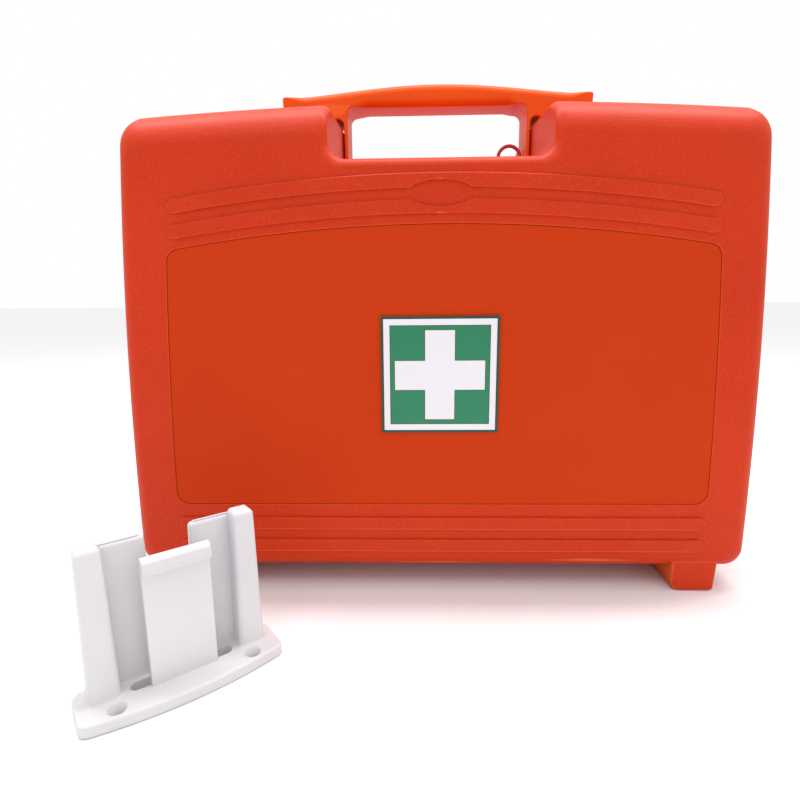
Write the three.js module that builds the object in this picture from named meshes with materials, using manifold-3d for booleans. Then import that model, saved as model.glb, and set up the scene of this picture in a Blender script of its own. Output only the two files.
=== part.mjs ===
// First aid case: two plastic shells that fold open on a bottom hinge, with a carry handle,
// two turn latches, dressings and tools inside, and a wall bracket that the handle hangs on.
// Millimetres. X is the width, the front faces -Y and Z is up.
import * as THREE from 'three';
import Module from 'manifold-3d';
import { mergeVertices } from 'three/addons/utils/BufferGeometryUtils.js';

const wasm = await Module();
wasm.setup();

// Driving dimensions
const gap = 0.3;                 // between pieces that touch
const caseWidth = 400;           // at the seam, at the widest level
const widestLevel = 40;          // height of the widest level
const sideBow = 2640;            // radius of the bowed sides
const bodyBottom = 15;           // underside of the shells, on the feet
const bodyHeight = 290.5;        // shells at the centre, without the feet
const bodyTop = bodyBottom + bodyHeight;
const topBow = 2600;             // radius of the arched top
const shellDepth = 75;           // each shell, seam to face
const wall = 3;
const draft = 1;                 // taper of each outer side over the shell depth
const sideRound = 10;            // face edge radii
const topRound = 24;
const bottomRound = 9;
const notchRound = 6;
const bottomCorner = 11;         // outline corner radii
const topCorner = 12;
const notchHalf = 62.5;          // handle notch at the seam
const notchDepth = 32.5;
const notchFloor = bodyTop - notchDepth;
const notchDraft = 3;
const notchCorner = 10;
const notchLip = 5;

const seamHalf = 0.25;           // half the gap between the shells
const sealClear = 0.2;           // rubber seal, inside the wall
const sealInset = wall + sealClear;
const sealWidth = 2.6;
const sealDepth = 3.2;
const seatWidth = 4;             // ledge behind the seal
const seatDepth = 3;

const footMargin = 19;           // feet, in from the widest level
const footWidth = 29;
const footOuter = caseWidth / 2 - footMargin;
const footInner = footOuter - footWidth;
const footTaper = 1.5;
const footToe = 2;
const footClear = 20;            // from the seam, so that the lid's feet pass the rear ones
const footRound = 6;

const ribRise = 1.2;             // raised bands on the face
const ribBow = 965;
const ribHeight = 8.3;
const ribMargin = 31;            // from the side outline
const ribDrops = [44.5, 58.8];     // arched bands, below the top
const ribTops = ribDrops.map((drop) => bodyTop - drop);
const lowRibRises = [36.4, 21.3];  // straight bands, above the underside
const lowRibTops = lowRibRises.map((rise) => bodyBottom + rise);
const ovalHalf = 19;             // oval between the arched bands
const ovalRise = 7.2;

const panelMargin = 30;          // label recess
const panelDrop = 72.5;          // below the top
const panelTop = bodyTop - panelDrop;
const panelRise = 45;            // above the underside
const panelBottom = bodyBottom + panelRise;
const panelCorner = 8;
const panelDepth = 1.2;
const labelThick = 0.6;

const emblemDrop = 2.7;          // sign plate, below the middle of the recess
const emblemLevel = (panelTop + panelBottom) / 2 - emblemDrop;
const emblemSize = 68.5;
const emblemBorder = 1.6;
const emblemFrame = 3.7;
const emblemThick = 1.1;
const crossArm = 27.5;
const crossBar = 9;

const gripDepth = 28;            // carry handle
const gripRise = 24.5;           // crown, above the top of the shells
const gripTop = bodyTop + gripRise;
const gripThick = 13.5;
const gripUnder = gripTop - gripThick;
const wingThick = 17.1;          // wings, above the top of the shells
const wingTop = bodyTop + wingThick;
const legThick = 2.4;
const openingCorner = 5;
const gripEdge = 5;              // rounding of the top edges
const wingStep = 12;             // from the notch to where the wing meets the shell
const wingArch = 6;              // height of the hollow over the notch lip
const wingSlack = 0.2;
const loopRise = 2.8;            // seal loop above the notch corners
const loopReach = 15;
const loopHalf = 7.6;
const loopWire = 1.2;

const hingeLevel = 10.4;         // bottom hinge
const knuckleRadius = 4.1;
const pinRadius = 1.6;
const hingeX = 105;
const knuckleLengths = [14, 18, 14];
const hingeLength = knuckleLengths.reduce((sum, length) => sum + length, 0);
const knuckleGap = 0.4;
const webClear = 0.2;            // knuckle webs, from the seam

const latchMargin = 67;          // turn latches, in from the widest level
const latchX = caseWidth / 2 - latchMargin;
const latchY = 9;
const camClear = 1.5;
const knobRadius = 17;
const knobHeight = 16.6;
const discThick = 10;
const barHalf = 4;
const barIn = 2.5;               // grip bar, in from the rim of the knob
const stemRadius = 4;
const latchScrewRadius = 1.5;
const latchScrewLength = 6;
const camLength = 15;
const camHalf = 6.5;
const camThick = 3;
const camScrewHead = 2.5;
const rampGap = 9.5;             // ramps, outboard of the knobs
const rampLength = 16.5;
const rampInner = latchX + knobRadius + rampGap;
const rampOuter = rampInner + rampLength;
const rampRise = 7.5;
const rampTop = bodyTop + rampRise;
const rampDepth = 14;

const wingGap = 13;              // from the handle's wings to the knobs
const wingHalf = latchX - knobRadius - wingGap;
const handleScrewOffset = 21.5;  // from the notch
const handleScrewX = notchHalf + handleScrewOffset;
const handleScrewY = 10.8;
const handleScrewRadius = 2;
const screwHeadRadius = 3.6;
const screwHeadThick = 3;
const screwReach = 8;            // above the top of the shells

const upperRow = 159.5;          // inserts of three columns and two rows, shelf to top
const shelfLevel = bodyTop - upperRow;
const lidUpperRow = 177.5;
const lidShelfLevel = bodyTop - lidUpperRow;
const dividerOffset = 13.5;      // from the notch
const dividerX = notchHalf + dividerOffset;
const dividerDrop = 14;          // top of the dividers, below the cams
const sheetThick = 1.5;
const insertFront = 16;
const packClear = 2.5;           // around a pack in its compartment

const coverThick = 1.5;          // clear covers
const coverY = 9.5;
const coverClear = 1.5;
const coverRodRadius = 1.5;
const coverLevel = 23.5;
const coverLift = 4;
const coverCorner = bottomCorner + 1;
const coverSleeve = 20;
const coverSleeveIn = 25;
const fingerRadius = 9;
const lugX = 100;
const lugThick = 5;
const lugHalf = 3;
const lidSeatWidth = 7;
const rivetRadius = 1.2;
const rivetHeadRadius = 2.6;
const rivetHeadThick = 1.2;
const rivetRise = 55;            // lower rivets, above the underside
const rivetDrop = 75.5;          // upper rivets, below the top

const tapeCore = 9;              // contents
const tapeWidths = [25, 12.5];
const bookletThick = 4;
const packEdge = {
  dressing: 9, carton: 1.5, bandage: 7, glove: 8, compress: 6, booklet: 2, cold: 8, eye: 8, sling: 8,
};
const dressingStep = 12;         // the second dressing is that much lower
const plasterShare = { width: 0.55, height: 0.8, depth: 0.7 };   // shares of a compartment
const gloveDepthShare = 0.6;
const blanketShare = 0.8;
const compressDepths = [0.8, 0.6];
const bookletShare = 0.95;
const coldShare = { width: 0.9, height: 0.85 };
const eyeShare = { height: 0.8, depth: 0.6 };
const slingDepthShare = 0.8;
const scissorPivot = 63;         // above the shelf
const bladeThick = 2;
const scissorPin = 1.5;
const scissorHead = 3;
const scissorHeadRise = 1.2;
const scissorOutline = [         // from the pivot: x, z and corner radius
  [-1.5, 58], [-4.5, 34], [-5.5, 6, 3], [-3, -14], [7, -34], [13, -34], [4, -12], [5.5, 0, 3], [3.5, 14],
];
const scissorBow = { centre: [14, -45], outer: [10.5, 14], inner: [7, 10.5] };

const bracketX = -130.9;         // wall bracket, standing on its wall plate
const bracketAhead = 89.4;       // in front of the face
const bracketTurn = 39;
const bracketPlay = 17.1;        // sideways, in the opening of the handle
const postOuter = notchHalf - legThick - bracketPlay;
const postWidth = 14;
const postSpan = [2, 16];        // front to back
const postCorner = 3;
const postTaper = 0.8;
const postFoot = 6;              // from the outer posts to the end of the plate
const plateHalf = postOuter + postFoot;
const plateFront = 14;
const plateBow = 6;
const plateBack = 19;
const plateThick = 6;
const plateCorner = 6;
const postTop = 82;
const innerPostOuter = postOuter - 8;
const innerPostWidth = 26;
const innerPostSpan = [11.5, 18];
const innerPostDrop = 3;
const tongueHalf = postOuter - 27;
const tongueTop = 73;
const tongueThick = 4;
const tongueFace = 0;
const tongueLip = [[1, -1], [1, -9], [-2.4, -9], [-3.6, -6], [-3.2, -2], [-1.2, 0]];
const slotHalf = tongueHalf + 9;
const slotSpan = [2, 8.5];
const slotCorner = 3;
const wallScrewIn = 16.4;        // wall screws, in from the ends of the plate
const screwSpacing = 2 * (plateHalf - wallScrewIn);
const wallScrewY = -5.2;
const wallScrewRadius = 2.3;
const wallScrewHead = 4.4;

// Materials
const plastic = (color, roughness = 0.5) => (
  new THREE.MeshStandardMaterial({ color, roughness, metalness: 0 })
);
const steel = new THREE.MeshStandardMaterial({ color: 0xb8babd, roughness: 0.3, metalness: 1 });
const shellOrange = plastic(0xcf3a08, 0.48);
const labelOrange = plastic(0xcb3f14, 0.6);
const handleOrange = plastic(0xe85a14, 0.42);
const white = plastic(0xe9e7e8, 0.45);
const signGreen = plastic(0x0b7a4b, 0.4);
const darkGreen = plastic(0x06402a, 0.5);
const sealRed = plastic(0x8c0a12, 0.4);
const rubber = plastic(0x1d1d1f, 0.85);
const grey = plastic(0x8f959a, 0.5);
const clear = new THREE.MeshStandardMaterial({
  color: 0xdfe9ee, roughness: 0.08, metalness: 0, transparent: true, opacity: 0.35,
});
const gauze = plastic(0xf1eee4, 0.95);
const film = plastic(0xdbe2e4, 0.35);
const paper = plastic(0xf3f3ef, 0.8);
const card = plastic(0x3f7f63, 0.7);
const foil = new THREE.MeshStandardMaterial({ color: 0xcfae5a, roughness: 0.3, metalness: 0.8 });
const gloveBlue = plastic(0x6f9fc4, 0.6);

// Solids: geometry in, manifold out, and back to a named mesh
function solid(geometry) {
  const bare = geometry.clone();
  bare.deleteAttribute('normal');
  bare.deleteAttribute('uv');
  const merged = mergeVertices(bare, 1e-4);
  return new wasm.Manifold(new wasm.Mesh({
    numProp: 3,
    vertProperties: new Float32Array(merged.attributes.position.array),
    triVerts: new Uint32Array(merged.index.array),
  }));
}

function piece(name, shape, material) {
  let geometry = shape;
  if (!shape.isBufferGeometry) {
    const out = shape.getMesh();
    geometry = new THREE.BufferGeometry();
    geometry.setAttribute('position', new THREE.BufferAttribute(out.vertProperties, 3));
    geometry.setIndex(new THREE.BufferAttribute(out.triVerts, 1));
    geometry.computeVertexNormals();
  }
  const mesh = new THREE.Mesh(geometry, material);
  mesh.name = name;
  return mesh;
}

const box = (x0, y0, z0, x1, y1, z1) => new THREE.BoxGeometry(x1 - x0, y1 - y0, z1 - z0)
  .translate((x0 + x1) / 2, (y0 + y1) / 2, (z0 + z1) / 2);

// Extrudes an outline drawn in X and Z from y0 to y1
function slab(points, y0, y1, holes = []) {
  const shape = new THREE.Shape(points);
  shape.holes = holes.map((hole) => new THREE.Path(hole));
  return new THREE.ExtrudeGeometry(shape, { depth: y1 - y0, bevelEnabled: false })
    .rotateX(Math.PI / 2).translate(0, y1, 0);
}

// Extrudes an outline drawn in X and Y from z0 to z1
function plate(points, z0, z1) {
  const shape = new THREE.Shape(points);
  return new THREE.ExtrudeGeometry(shape, { depth: z1 - z0, bevelEnabled: false }).translate(0, 0, z0);
}

function rod(axis, radius, from, to, sides = 20) {
  const geometry = new THREE.CylinderGeometry(radius, radius, to - from, sides);
  geometry.translate(0, (from + to) / 2, 0);
  if (axis === 'x') geometry.rotateZ(-Math.PI / 2);
  if (axis === 'z') geometry.rotateX(Math.PI / 2);
  return geometry;
}

// Rounds the corners of a polygon; each corner is [x, z, radius]
function roundCorners(corners, steps = 4) {
  const out = [];
  corners.forEach(([x, z, radius = 0], i) => {
    const here = new THREE.Vector2(x, z);
    if (!radius) {
      out.push(here);
      return;
    }
    const before = new THREE.Vector2(...corners[(i + corners.length - 1) % corners.length]);
    const after = new THREE.Vector2(...corners[(i + 1) % corners.length]);
    const back = before.sub(here).normalize();
    const ahead = after.sub(here).normalize();
    const half = Math.acos(THREE.MathUtils.clamp(back.dot(ahead), -1, 1)) / 2;
    const inward = back.clone().add(ahead).normalize();
    const centre = here.clone().add(inward.multiplyScalar(radius / Math.sin(half)));
    const start = here.clone().add(back.multiplyScalar(radius / Math.tan(half))).sub(centre);
    const end = here.clone().add(ahead.multiplyScalar(radius / Math.tan(half))).sub(centre);
    const turn = Math.atan2(start.cross(end), start.dot(end));
    for (let k = 0; k <= steps; k += 1) {
      out.push(start.clone().rotateAround(new THREE.Vector2(), (turn * k) / steps).add(centre));
    }
  });
  return out;
}

const mirrored = (half) => [...half, ...half.map(([x, z, r]) => [-x, z, r]).reverse()];

// Joins matching outlines into one closed body; each section is { y, points }
function loft(sections) {
  const count = sections[0].points.length;
  const positions = [];
  const faces = [];
  sections.forEach(({ y, points }) => points.forEach((p) => positions.push(p.x, y, p.y)));
  const at = (k, i) => k * count + (i % count);
  for (let k = 0; k + 1 < sections.length; k += 1) {
    for (let i = 0; i < count; i += 1) {
      faces.push(at(k, i), at(k + 1, i + 1), at(k, i + 1), at(k, i), at(k + 1, i), at(k + 1, i + 1));
    }
  }
  const last = sections.length - 1;
  const cap = (k) => THREE.ShapeUtils.triangulateShape(sections[k].points, []);
  cap(0).forEach(([a, b, c]) => faces.push(at(0, a), at(0, b), at(0, c)));
  cap(last).forEach(([a, b, c]) => faces.push(at(last, a), at(last, c), at(last, b)));
  const geometry = new THREE.BufferGeometry();
  geometry.setAttribute('position', new THREE.Float32BufferAttribute(positions, 3));
  geometry.setIndex(faces);
  return geometry;
}

// Case outline
const halfWidthAt = (z) => caseWidth / 2 - (z - widestLevel) ** 2 / (2 * sideBow);
const topAt = (x) => bodyTop - x ** 2 / (2 * topBow);
const rounding = (radius, depth) => (
  depth >= radius ? 0 : radius - Math.sqrt(radius ** 2 - (radius - depth) ** 2)
);

function caseOutline({ side, top, bottom, notch }) {
  const low = bodyBottom + bottom;
  const sideX = (z) => halfWidthAt(z) - side;
  const topZ = (x) => topAt(x) - top;
  const lip = notchHalf + notch;
  const cornerX = sideX(topAt(caseWidth / 2) - top);
  const cornerZ = topZ(cornerX);
  const sideSteps = [1, 2, 3, 4, 5].map((k) => low + ((cornerZ - low) * k) / 6);
  const topSteps = [3, 2, 1].map((k) => lip + ((cornerX - lip) * k) / 4);
  return roundCorners(mirrored([
    [sideX(low), low, bottomCorner],
    ...sideSteps.map((z) => [sideX(z), z]),
    [cornerX, cornerZ, topCorner],
    ...topSteps.map((x) => [x, topZ(x)]),
    [lip, topZ(lip), notchLip],
    [lip, notchFloor - notch, notchCorner],
  ]));
}

// Outline of a shell at a depth behind its face, inset by a wall
function shellSection(depth, inset = 0) {
  const slope = 1 - depth / shellDepth;
  const round = (radius) => rounding(Math.max(radius - inset, 1), depth - inset);
  return caseOutline({
    side: inset + draft * slope + round(sideRound),
    top: inset + draft * slope + round(topRound),
    bottom: inset + draft * slope + round(bottomRound),
    notch: inset + notchDraft * slope + round(notchRound),
  });
}

const evenInset = (inset) => caseOutline({ side: inset, top: inset, bottom: inset, notch: inset });

// Body of a shell; facing is -1 for the front shell and 1 for the rear shell
function shellBody(facing) {
  const atDepth = (inset) => (depth) => (
    { y: facing * (shellDepth - depth), points: shellSection(depth, inset) }
  );
  const ordered = (sections) => (facing < 0 ? sections : sections.reverse());
  const outer = [0, 1.5, 5, 10, 16, topRound].map(atDepth(0));
  outer.push({ y: facing * seamHalf, points: evenInset(0) });
  const inner = [wall, wall + 3, wall + 8, topRound].map(atDepth(wall));
  inner.push({ y: facing * -1, points: evenInset(wall) });
  let body = solid(loft(ordered(outer))).subtract(solid(loft(ordered(inner))));
  for (const side of [-1, 1]) body = body.add(solid(foot(side, facing)));
  return body;
}

// A foot drawn from the front, running back from the face
function foot(side, facing) {
  const top = bodyBottom + wall / 2 + bottomRound / 2;
  const outline = roundCorners([
    [footInner, 0, footRound],
    [footOuter - footTaper, 0, footToe],
    [footOuter, top],
    [footInner, top],
  ]).map((p) => new THREE.Vector2(side * p.x, p.y));
  const near = facing * footClear;
  const far = facing * (shellDepth - draft);
  return slab(outline, Math.min(near, far), Math.max(near, far));
}

// Face bands
function bandOutline(topLevel, height, bow, halfLength) {
  const drop = (x) => (bow ? x ** 2 / (2 * bow) : 0);
  const half = height / 2;
  const edge = (x, sign) => new THREE.Vector2(x, topLevel - half + sign * half - drop(x));
  const reach = halfLength - half;
  const steps = Array.from({ length: 9 }, (_, k) => -1 + k / 4);
  const cap = [0.25, 0.5, 0.75].map((t) => -Math.PI / 2 + Math.PI * t);
  const end = (side, angle) => new THREE.Vector2(
    side * (reach + half * Math.cos(angle)),
    topLevel - half - drop(reach) + side * half * Math.sin(angle),
  );
  return [
    ...steps.map((t) => edge(t * reach, -1)),
    ...cap.map((angle) => end(1, angle)),
    ...steps.map((t) => edge(-t * reach, 1)),
    ...cap.map((angle) => end(-1, angle)),
  ];
}

function addFaceBands(body, facing) {
  const face = facing * shellDepth;
  const y0 = Math.min(face - facing, face + facing * ribRise);
  const y1 = Math.max(face - facing, face + facing * ribRise);
  const raise = (points) => solid(slab(points, y0, y1));
  let bands = raise(bandOutline(ribTops[0], ribHeight, ribBow, halfWidthAt(ribTops[0]) - ribMargin));
  bands = bands.add(raise(bandOutline(ribTops[1], ribHeight, ribBow, halfWidthAt(ribTops[1]) - ribMargin)));
  const ovalLevel = (ribTops[0] + ribTops[1] - ribHeight) / 2;
  const oval = new THREE.EllipseCurve(0, ovalLevel, ovalHalf, ovalRise).getPoints(32).slice(0, -1);
  bands = bands.subtract(raise(oval));
  for (const level of lowRibTops) {
    bands = bands.add(raise(bandOutline(level, ribHeight, 0, halfWidthAt(level) - ribMargin)));
  }
  return body.add(bands);
}

// Outline of the label recess and of what lies in it
function panelOutline(inset) {
  const sideX = (z) => halfWidthAt(z) - panelMargin - inset;
  const topZ = (x) => panelTop - inset - x ** 2 / (2 * ribBow);
  const low = panelBottom + inset;
  const cornerX = sideX(panelTop);
  const high = topZ(cornerX);
  return roundCorners(mirrored([
    [sideX(low), low, panelCorner],
    ...[1, 2].map((k) => [sideX(low + ((high - low) * k) / 3), low + ((high - low) * k) / 3]),
    [cornerX, high, panelCorner],
    ...[0.75, 0.5, 0.25].map((t) => [cornerX * t, topZ(cornerX * t)]),
    [0.01, topZ(0)],
  ]));
}

// Hinge knuckles: the rear shell has the outer two of each set of three, the front shell the middle one
function knuckleSpans(side, owner) {
  let start = side * hingeX - hingeLength / 2;
  const spans = [];
  knuckleLengths.forEach((length, k) => {
    if ((owner > 0) === (k !== 1)) spans.push([start + knuckleGap / 2, start + length - knuckleGap / 2]);
    start += length;
  });
  return spans;
}

function addKnuckles(body, facing) {
  let result = body;
  const reach = knuckleRadius * 2;
  for (const side of [-1, 1]) {
    for (const [x0, x1] of knuckleSpans(side, facing)) {
      const barrel = solid(rod('x', knuckleRadius, x0, x1, 24).translate(0, 0, hingeLevel));
      const web = solid(box(x0, Math.min(webClear * facing, reach * facing), hingeLevel,
        x1, Math.max(webClear * facing, reach * facing), bodyBottom + wall / 2));
      result = result.add(barrel.add(web));
    }
    const bore = rod('x', pinRadius + gap, side * hingeX - hingeLength, side * hingeX + hingeLength, 16);
    result = result.subtract(solid(bore.translate(0, 0, hingeLevel)));
  }
  return result;
}

// Ramps on the top, outboard of the knobs
function addRamps(body, facing) {
  let result = body;
  for (const side of [-1, 1]) {
    const root = topAt(rampOuter) - wall / 2;
    const outline = [[rampOuter, root], [rampInner, rampTop], [rampInner, root]];
    const near = facing * seamHalf;
    const far = facing * rampDepth;
    result = result.add(solid(slab(outline.map(([x, z]) => new THREE.Vector2(side * x, z)),
      Math.min(near, far), Math.max(near, far))));
  }
  return result;
}

const knobSeat = topAt(latchX - knobRadius) + gap;
const camTop = topAt(latchX + camLength) - wall - seatWidth - camClear;
const wingSeat = (x) => topAt(x) + gap;
const crown = (x) => wingTop + (gripTop - wingTop) * (0.5 + 0.5 * Math.cos((Math.PI * x) / wingHalf)) ** 0.75;

// Front shell
function frontShell() {
  let body = addFaceBands(shellBody(-1), -1);
  body = body.subtract(solid(slab(panelOutline(0), -shellDepth - 5, -shellDepth + panelDepth)));
  const ledge = slab(evenInset(wall / 2), lidLedge - seatDepth, lidLedge, [evenInset(wall + lidSeatWidth)]);
  body = body.add(solid(ledge));
  for (const [x, z] of rivetPlaces()) body = body.subtract(solid(rivetBore(x, z)));
  return addRamps(addKnuckles(body, -1), -1);
}

// Rear shell: a ledge behind the seal, and holes for the latch stems and the handle screws
function rearShell() {
  let body = addRamps(addKnuckles(shellBody(1), 1), 1);
  const ledgeAt = seamHalf + sealDepth + gap;
  const opening = evenInset(wall + seatWidth);
  body = body.add(solid(slab(evenInset(wall / 2), ledgeAt, ledgeAt + seatDepth, [opening])));
  body = body.subtract(solid(slab(panelOutline(0), shellDepth - panelDepth, shellDepth + 5)));
  for (const side of [-1, 1]) body = body.add(coverLug(side));
  body = body.subtract(solid(rod('x', coverRodRadius + gap, -lugX - lugThick, lugX + lugThick, 16)
    .translate(0, rodY, coverLevel)));
  const hole = (x, y, radius) => solid(rod('z', radius, camTop, gripTop).translate(x, y, 0));
  for (const side of [-1, 1]) {
    body = body.subtract(hole(side * latchX, latchY, stemRadius + gap));
    body = body.subtract(hole(side * handleScrewX, handleScrewY, handleScrewRadius + gap));
  }
  return body;
}

function sealRing() {
  return slab(evenInset(sealInset), seamHalf + 0.1, seamHalf + sealDepth, [evenInset(sealInset + sealWidth)]);
}

// Carry handle: a crowned grip, wings that rest on the shells and thin legs that line the notch
function carryHandle() {
  const topSteps = Array.from({ length: 15 }, (_, k) => wingHalf * (1 - k / 7));
  const legOuter = notchHalf - gap;
  const openingX = legOuter - legThick;
  const legBottom = notchFloor + notchCorner + gap;
  const seatX = notchHalf + wingStep;
  const archTop = wingSeat(legOuter) + wingArch;
  const right = [
    [openingX, gripUnder, openingCorner],
    [openingX, legBottom],
    [legOuter, legBottom],
    [legOuter, archTop, notchLip - 1],
    [seatX, wingSeat(seatX) + wingSlack],
    [wingHalf - 1, wingSeat(wingHalf - 1)],
  ];
  const left = right.map(([x, z, r]) => [-x, z, r]).reverse();
  const points = roundCorners([...right, ...topSteps.map((x) => [x, crown(x)]), ...left]);
  let body = solid(slab(points, -gripDepth / 2, gripDepth / 2));
  for (const facing of [-1, 1]) body = roundTopEdge(body, facing, topSteps);
  for (const side of [-1, 1]) {
    const bore = rod('z', handleScrewRadius + gap, bodyTop - screwReach, bodyTop + screwReach + 1);
    body = body.subtract(solid(bore.translate(side * handleScrewX, handleScrewY, 0)));
  }
  return body;
}

// Cuts a quarter round along a top edge of the grip in steps
function roundTopEdge(body, facing, topSteps) {
  const steps = 4;
  const face = facing * (gripDepth / 2);
  const clearTop = gripTop + 2 * gripEdge;
  let result = body;
  for (let k = 0; k < steps; k += 1) {
    const inner = gripEdge * (1 - Math.sin((Math.PI / 2) * (k / steps)));
    const drop = gripEdge * (1 - Math.cos((Math.PI / 2) * ((k + 1) / steps)));
    const along = topSteps.map((x) => new THREE.Vector2(x, crown(x) - drop)).reverse();
    const cutter = [...along, new THREE.Vector2(wingHalf + gripEdge, clearTop),
      new THREE.Vector2(-wingHalf - gripEdge, clearTop)];
    const near = face - facing * inner;
    const far = face + facing;
    result = result.subtract(solid(slab(cutter, Math.min(near, far), Math.max(near, far))));
  }
  return result;
}

function handleScrew(side) {
  const inside = topAt(handleScrewX) - wall - draft;
  const head = rod('z', screwHeadRadius, inside - screwHeadThick - gap, inside - gap);
  const shank = rod('z', handleScrewRadius, inside - 1, bodyTop + screwReach);
  return solid(head).add(solid(shank)).translate(side * handleScrewX, handleScrewY, 0);
}

// Turn latch: knob with a stem through the shell, a cam bar below the wall and its screw
function latchKnob() {
  const profile = [[0, 0], [knobRadius - 1, 0], [knobRadius, 1], [knobRadius, discThick - 3],
    [knobRadius - 1.5, discThick - 1], [0, discThick]];
  const points = profile.map(([r, z]) => new THREE.Vector2(r, z));
  const disc = new THREE.LatheGeometry(points, 32).rotateX(Math.PI / 2);
  const barEnd = knobRadius - barIn;
  const corners = [[-barEnd, -barHalf], [barEnd, -barHalf], [barEnd, barHalf], [-barEnd, barHalf]];
  const bar = plate(roundCorners(corners.map((p) => [...p, barHalf - 0.5])), discThick / 2, knobHeight);
  const foot = camTop - camThick - knobSeat;
  const stem = rod('z', stemRadius, foot, discThick / 2);
  const bore = rod('z', latchScrewRadius + gap, foot - 1, foot + latchScrewLength + camClear, 12);
  return solid(disc).add(solid(bar)).add(solid(stem)).subtract(solid(bore));
}

function latchCam() {
  const corners = [[-camHalf, -camLength], [camHalf, -camLength], [camHalf, camHalf], [-camHalf, camHalf]];
  const bar = solid(plate(roundCorners(corners.map((p) => [...p, camHalf - 1.5])), -camThick, 0));
  return bar.subtract(solid(rod('z', stemRadius + gap, -2 * camThick, 2 * camThick)));
}

function latchScrew() {
  const head = rod('z', camHalf - 0.5, -camScrewHead, 0);
  const shank = rod('z', latchScrewRadius, -1, latchScrewLength, 12);
  return solid(head).add(solid(shank));
}

// Compartments: the hollow of a shell, less a clearance
function hollow(facing, inset) {
  const sections = [inset, inset + 2, inset + 7, topRound].map((depth) => ({
    y: facing * (shellDepth - depth), points: shellSection(depth, inset),
  }));
  sections.push({ y: facing * insertFront, points: evenInset(inset + draft) });
  return solid(loft(facing < 0 ? sections : sections.reverse()));
}

// Insert: two uprights and a shelf in one piece, shaped to the shell
function insertTray(facing, level) {
  const near = facing * insertFront;
  const far = facing * shellDepth;
  const [y0, y1] = [Math.min(near, far), Math.max(near, far)];
  const half = sheetThick / 2;
  let tray = solid(box(-caseWidth, y0, level - half, caseWidth, y1, level + half));
  for (const x of [-dividerX, dividerX]) {
    tray = tray.add(solid(box(x - half, y0, 0, x + half, y1, camTop - dividerDrop)));
  }
  return tray.intersect(hollow(facing, wall + 1));
}

// Free space of a compartment; column is -1, 0 or 1 and row is 0 or 1
function compartment(facing, column, row) {
  const level = facing < 0 ? lidShelfLevel : shelfLevel;
  const half = sheetThick / 2;
  const low = row ? level + half : bodyBottom + draft + bottomRound;
  const roof = column ? camTop - dividerDrop : notchFloor - notchDraft - notchRound - wall;
  const high = row ? roof : level - half;
  const sideX = halfWidthAt(row ? high : widestLevel) - wall - draft - sideRound / 2;
  const inner = dividerX + half;
  const [x0, x1] = column ? [inner, sideX] : [-dividerX + half, dividerX - half];
  const deep = shellDepth - wall - (row ? sideRound - wall - 1 : wall);
  return {
    x: column < 0 ? -(x0 + x1) / 2 : (x0 + x1) / 2,
    z: (low + high) / 2,
    low,
    high,
    width: x1 - x0 - 2 * packClear,
    height: high - low - 2 * packClear,
    depth: deep - insertFront - 2 * packClear,
    y: facing * (insertFront + deep) / 2,
  };
}

// Rear cover: a clear plate that swings on a rod held by two lugs of the rear shell
const rodY = coverY + coverThick / 2;

function coverLug(side) {
  const [x0, x1] = [side * lugX - lugThick / 2, side * lugX + lugThick / 2];
  const post = box(x0, rodY - lugHalf, bodyBottom + wall / 2, x1, rodY + lugHalf, coverLevel);
  const eye = rod('x', lugHalf, x0, x1, 32).translate(0, rodY, coverLevel);
  return solid(post).add(solid(eye));
}

function rearCover() {
  const low = coverLevel + coverLift;
  const high = notchFloor - wall - seatWidth - coverClear;
  const sideX = (z) => halfWidthAt(z) - wall - seatWidth - coverClear;
  const middle = (low + high) / 2;
  const points = roundCorners(mirrored([
    [sideX(low), low, coverCorner],
    [sideX(middle), middle],
    [sideX(high), high, coverCorner],
  ]), 3);
  let sheet = solid(slab(points, coverY, coverY + coverThick));
  for (const x of [-lugX + coverSleeveIn, 0, lugX - coverSleeveIn]) {
    const [x0, x1] = [x - coverSleeve / 2, x + coverSleeve / 2];
    sheet = sheet.add(solid(rod('x', lugHalf, x0, x1).translate(0, rodY, coverLevel)));
    sheet = sheet.add(solid(box(x0, coverY, coverLevel, x1, coverY + coverThick, low + 2)));
  }
  const bore = rod('x', coverRodRadius + gap, -lugX, lugX, 16).translate(0, rodY, coverLevel);
  return sheet.subtract(solid(bore)).subtract(solid(fingerHole(high)));
}

const fingerHole = (high) => rod('y', fingerRadius, -shellDepth, shellDepth, 24)
  .translate(0, 0, high - 2 * fingerRadius);

// Lid cover: a clear plate on a ledge of the front shell, held by push rivets
const lidLedge = -coverY - coverThick - gap;

function rivetPlaces() {
  const inset = wall + (lidSeatWidth + draft) / 2;
  return [bodyBottom + rivetRise, bodyTop - rivetDrop]
    .flatMap((z) => [-1, 1].map((side) => [side * (halfWidthAt(z) - inset), z]));
}

const rivetBore = (x, z) => (
  rod('y', rivetRadius + gap, -seatDepth - 1, seatDepth, 12).translate(x, lidLedge, z)
);

function lidCover() {
  const outline = evenInset(wall + draft);
  let cover = solid(slab(outline, -coverY - coverThick, -coverY));
  for (const [x, z] of rivetPlaces()) cover = cover.subtract(solid(rivetBore(x, z)));
  return cover.subtract(solid(fingerHole(notchFloor - wall - seatWidth)));
}

function pushRivet() {
  const head = rod('y', rivetHeadRadius, gap, gap + rivetHeadThick, 16);
  const shank = rod('y', rivetRadius, -coverThick - gap - seatDepth, gap + 0.5, 12);
  return solid(head).add(solid(shank));
}

// Sign plate on the label: border, frame, field and cross side by side
const square = (half) => [[-half, -half], [half, -half], [half, half], [-half, half]]
  .map(([x, z]) => new THREE.Vector2(x, z));

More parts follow.
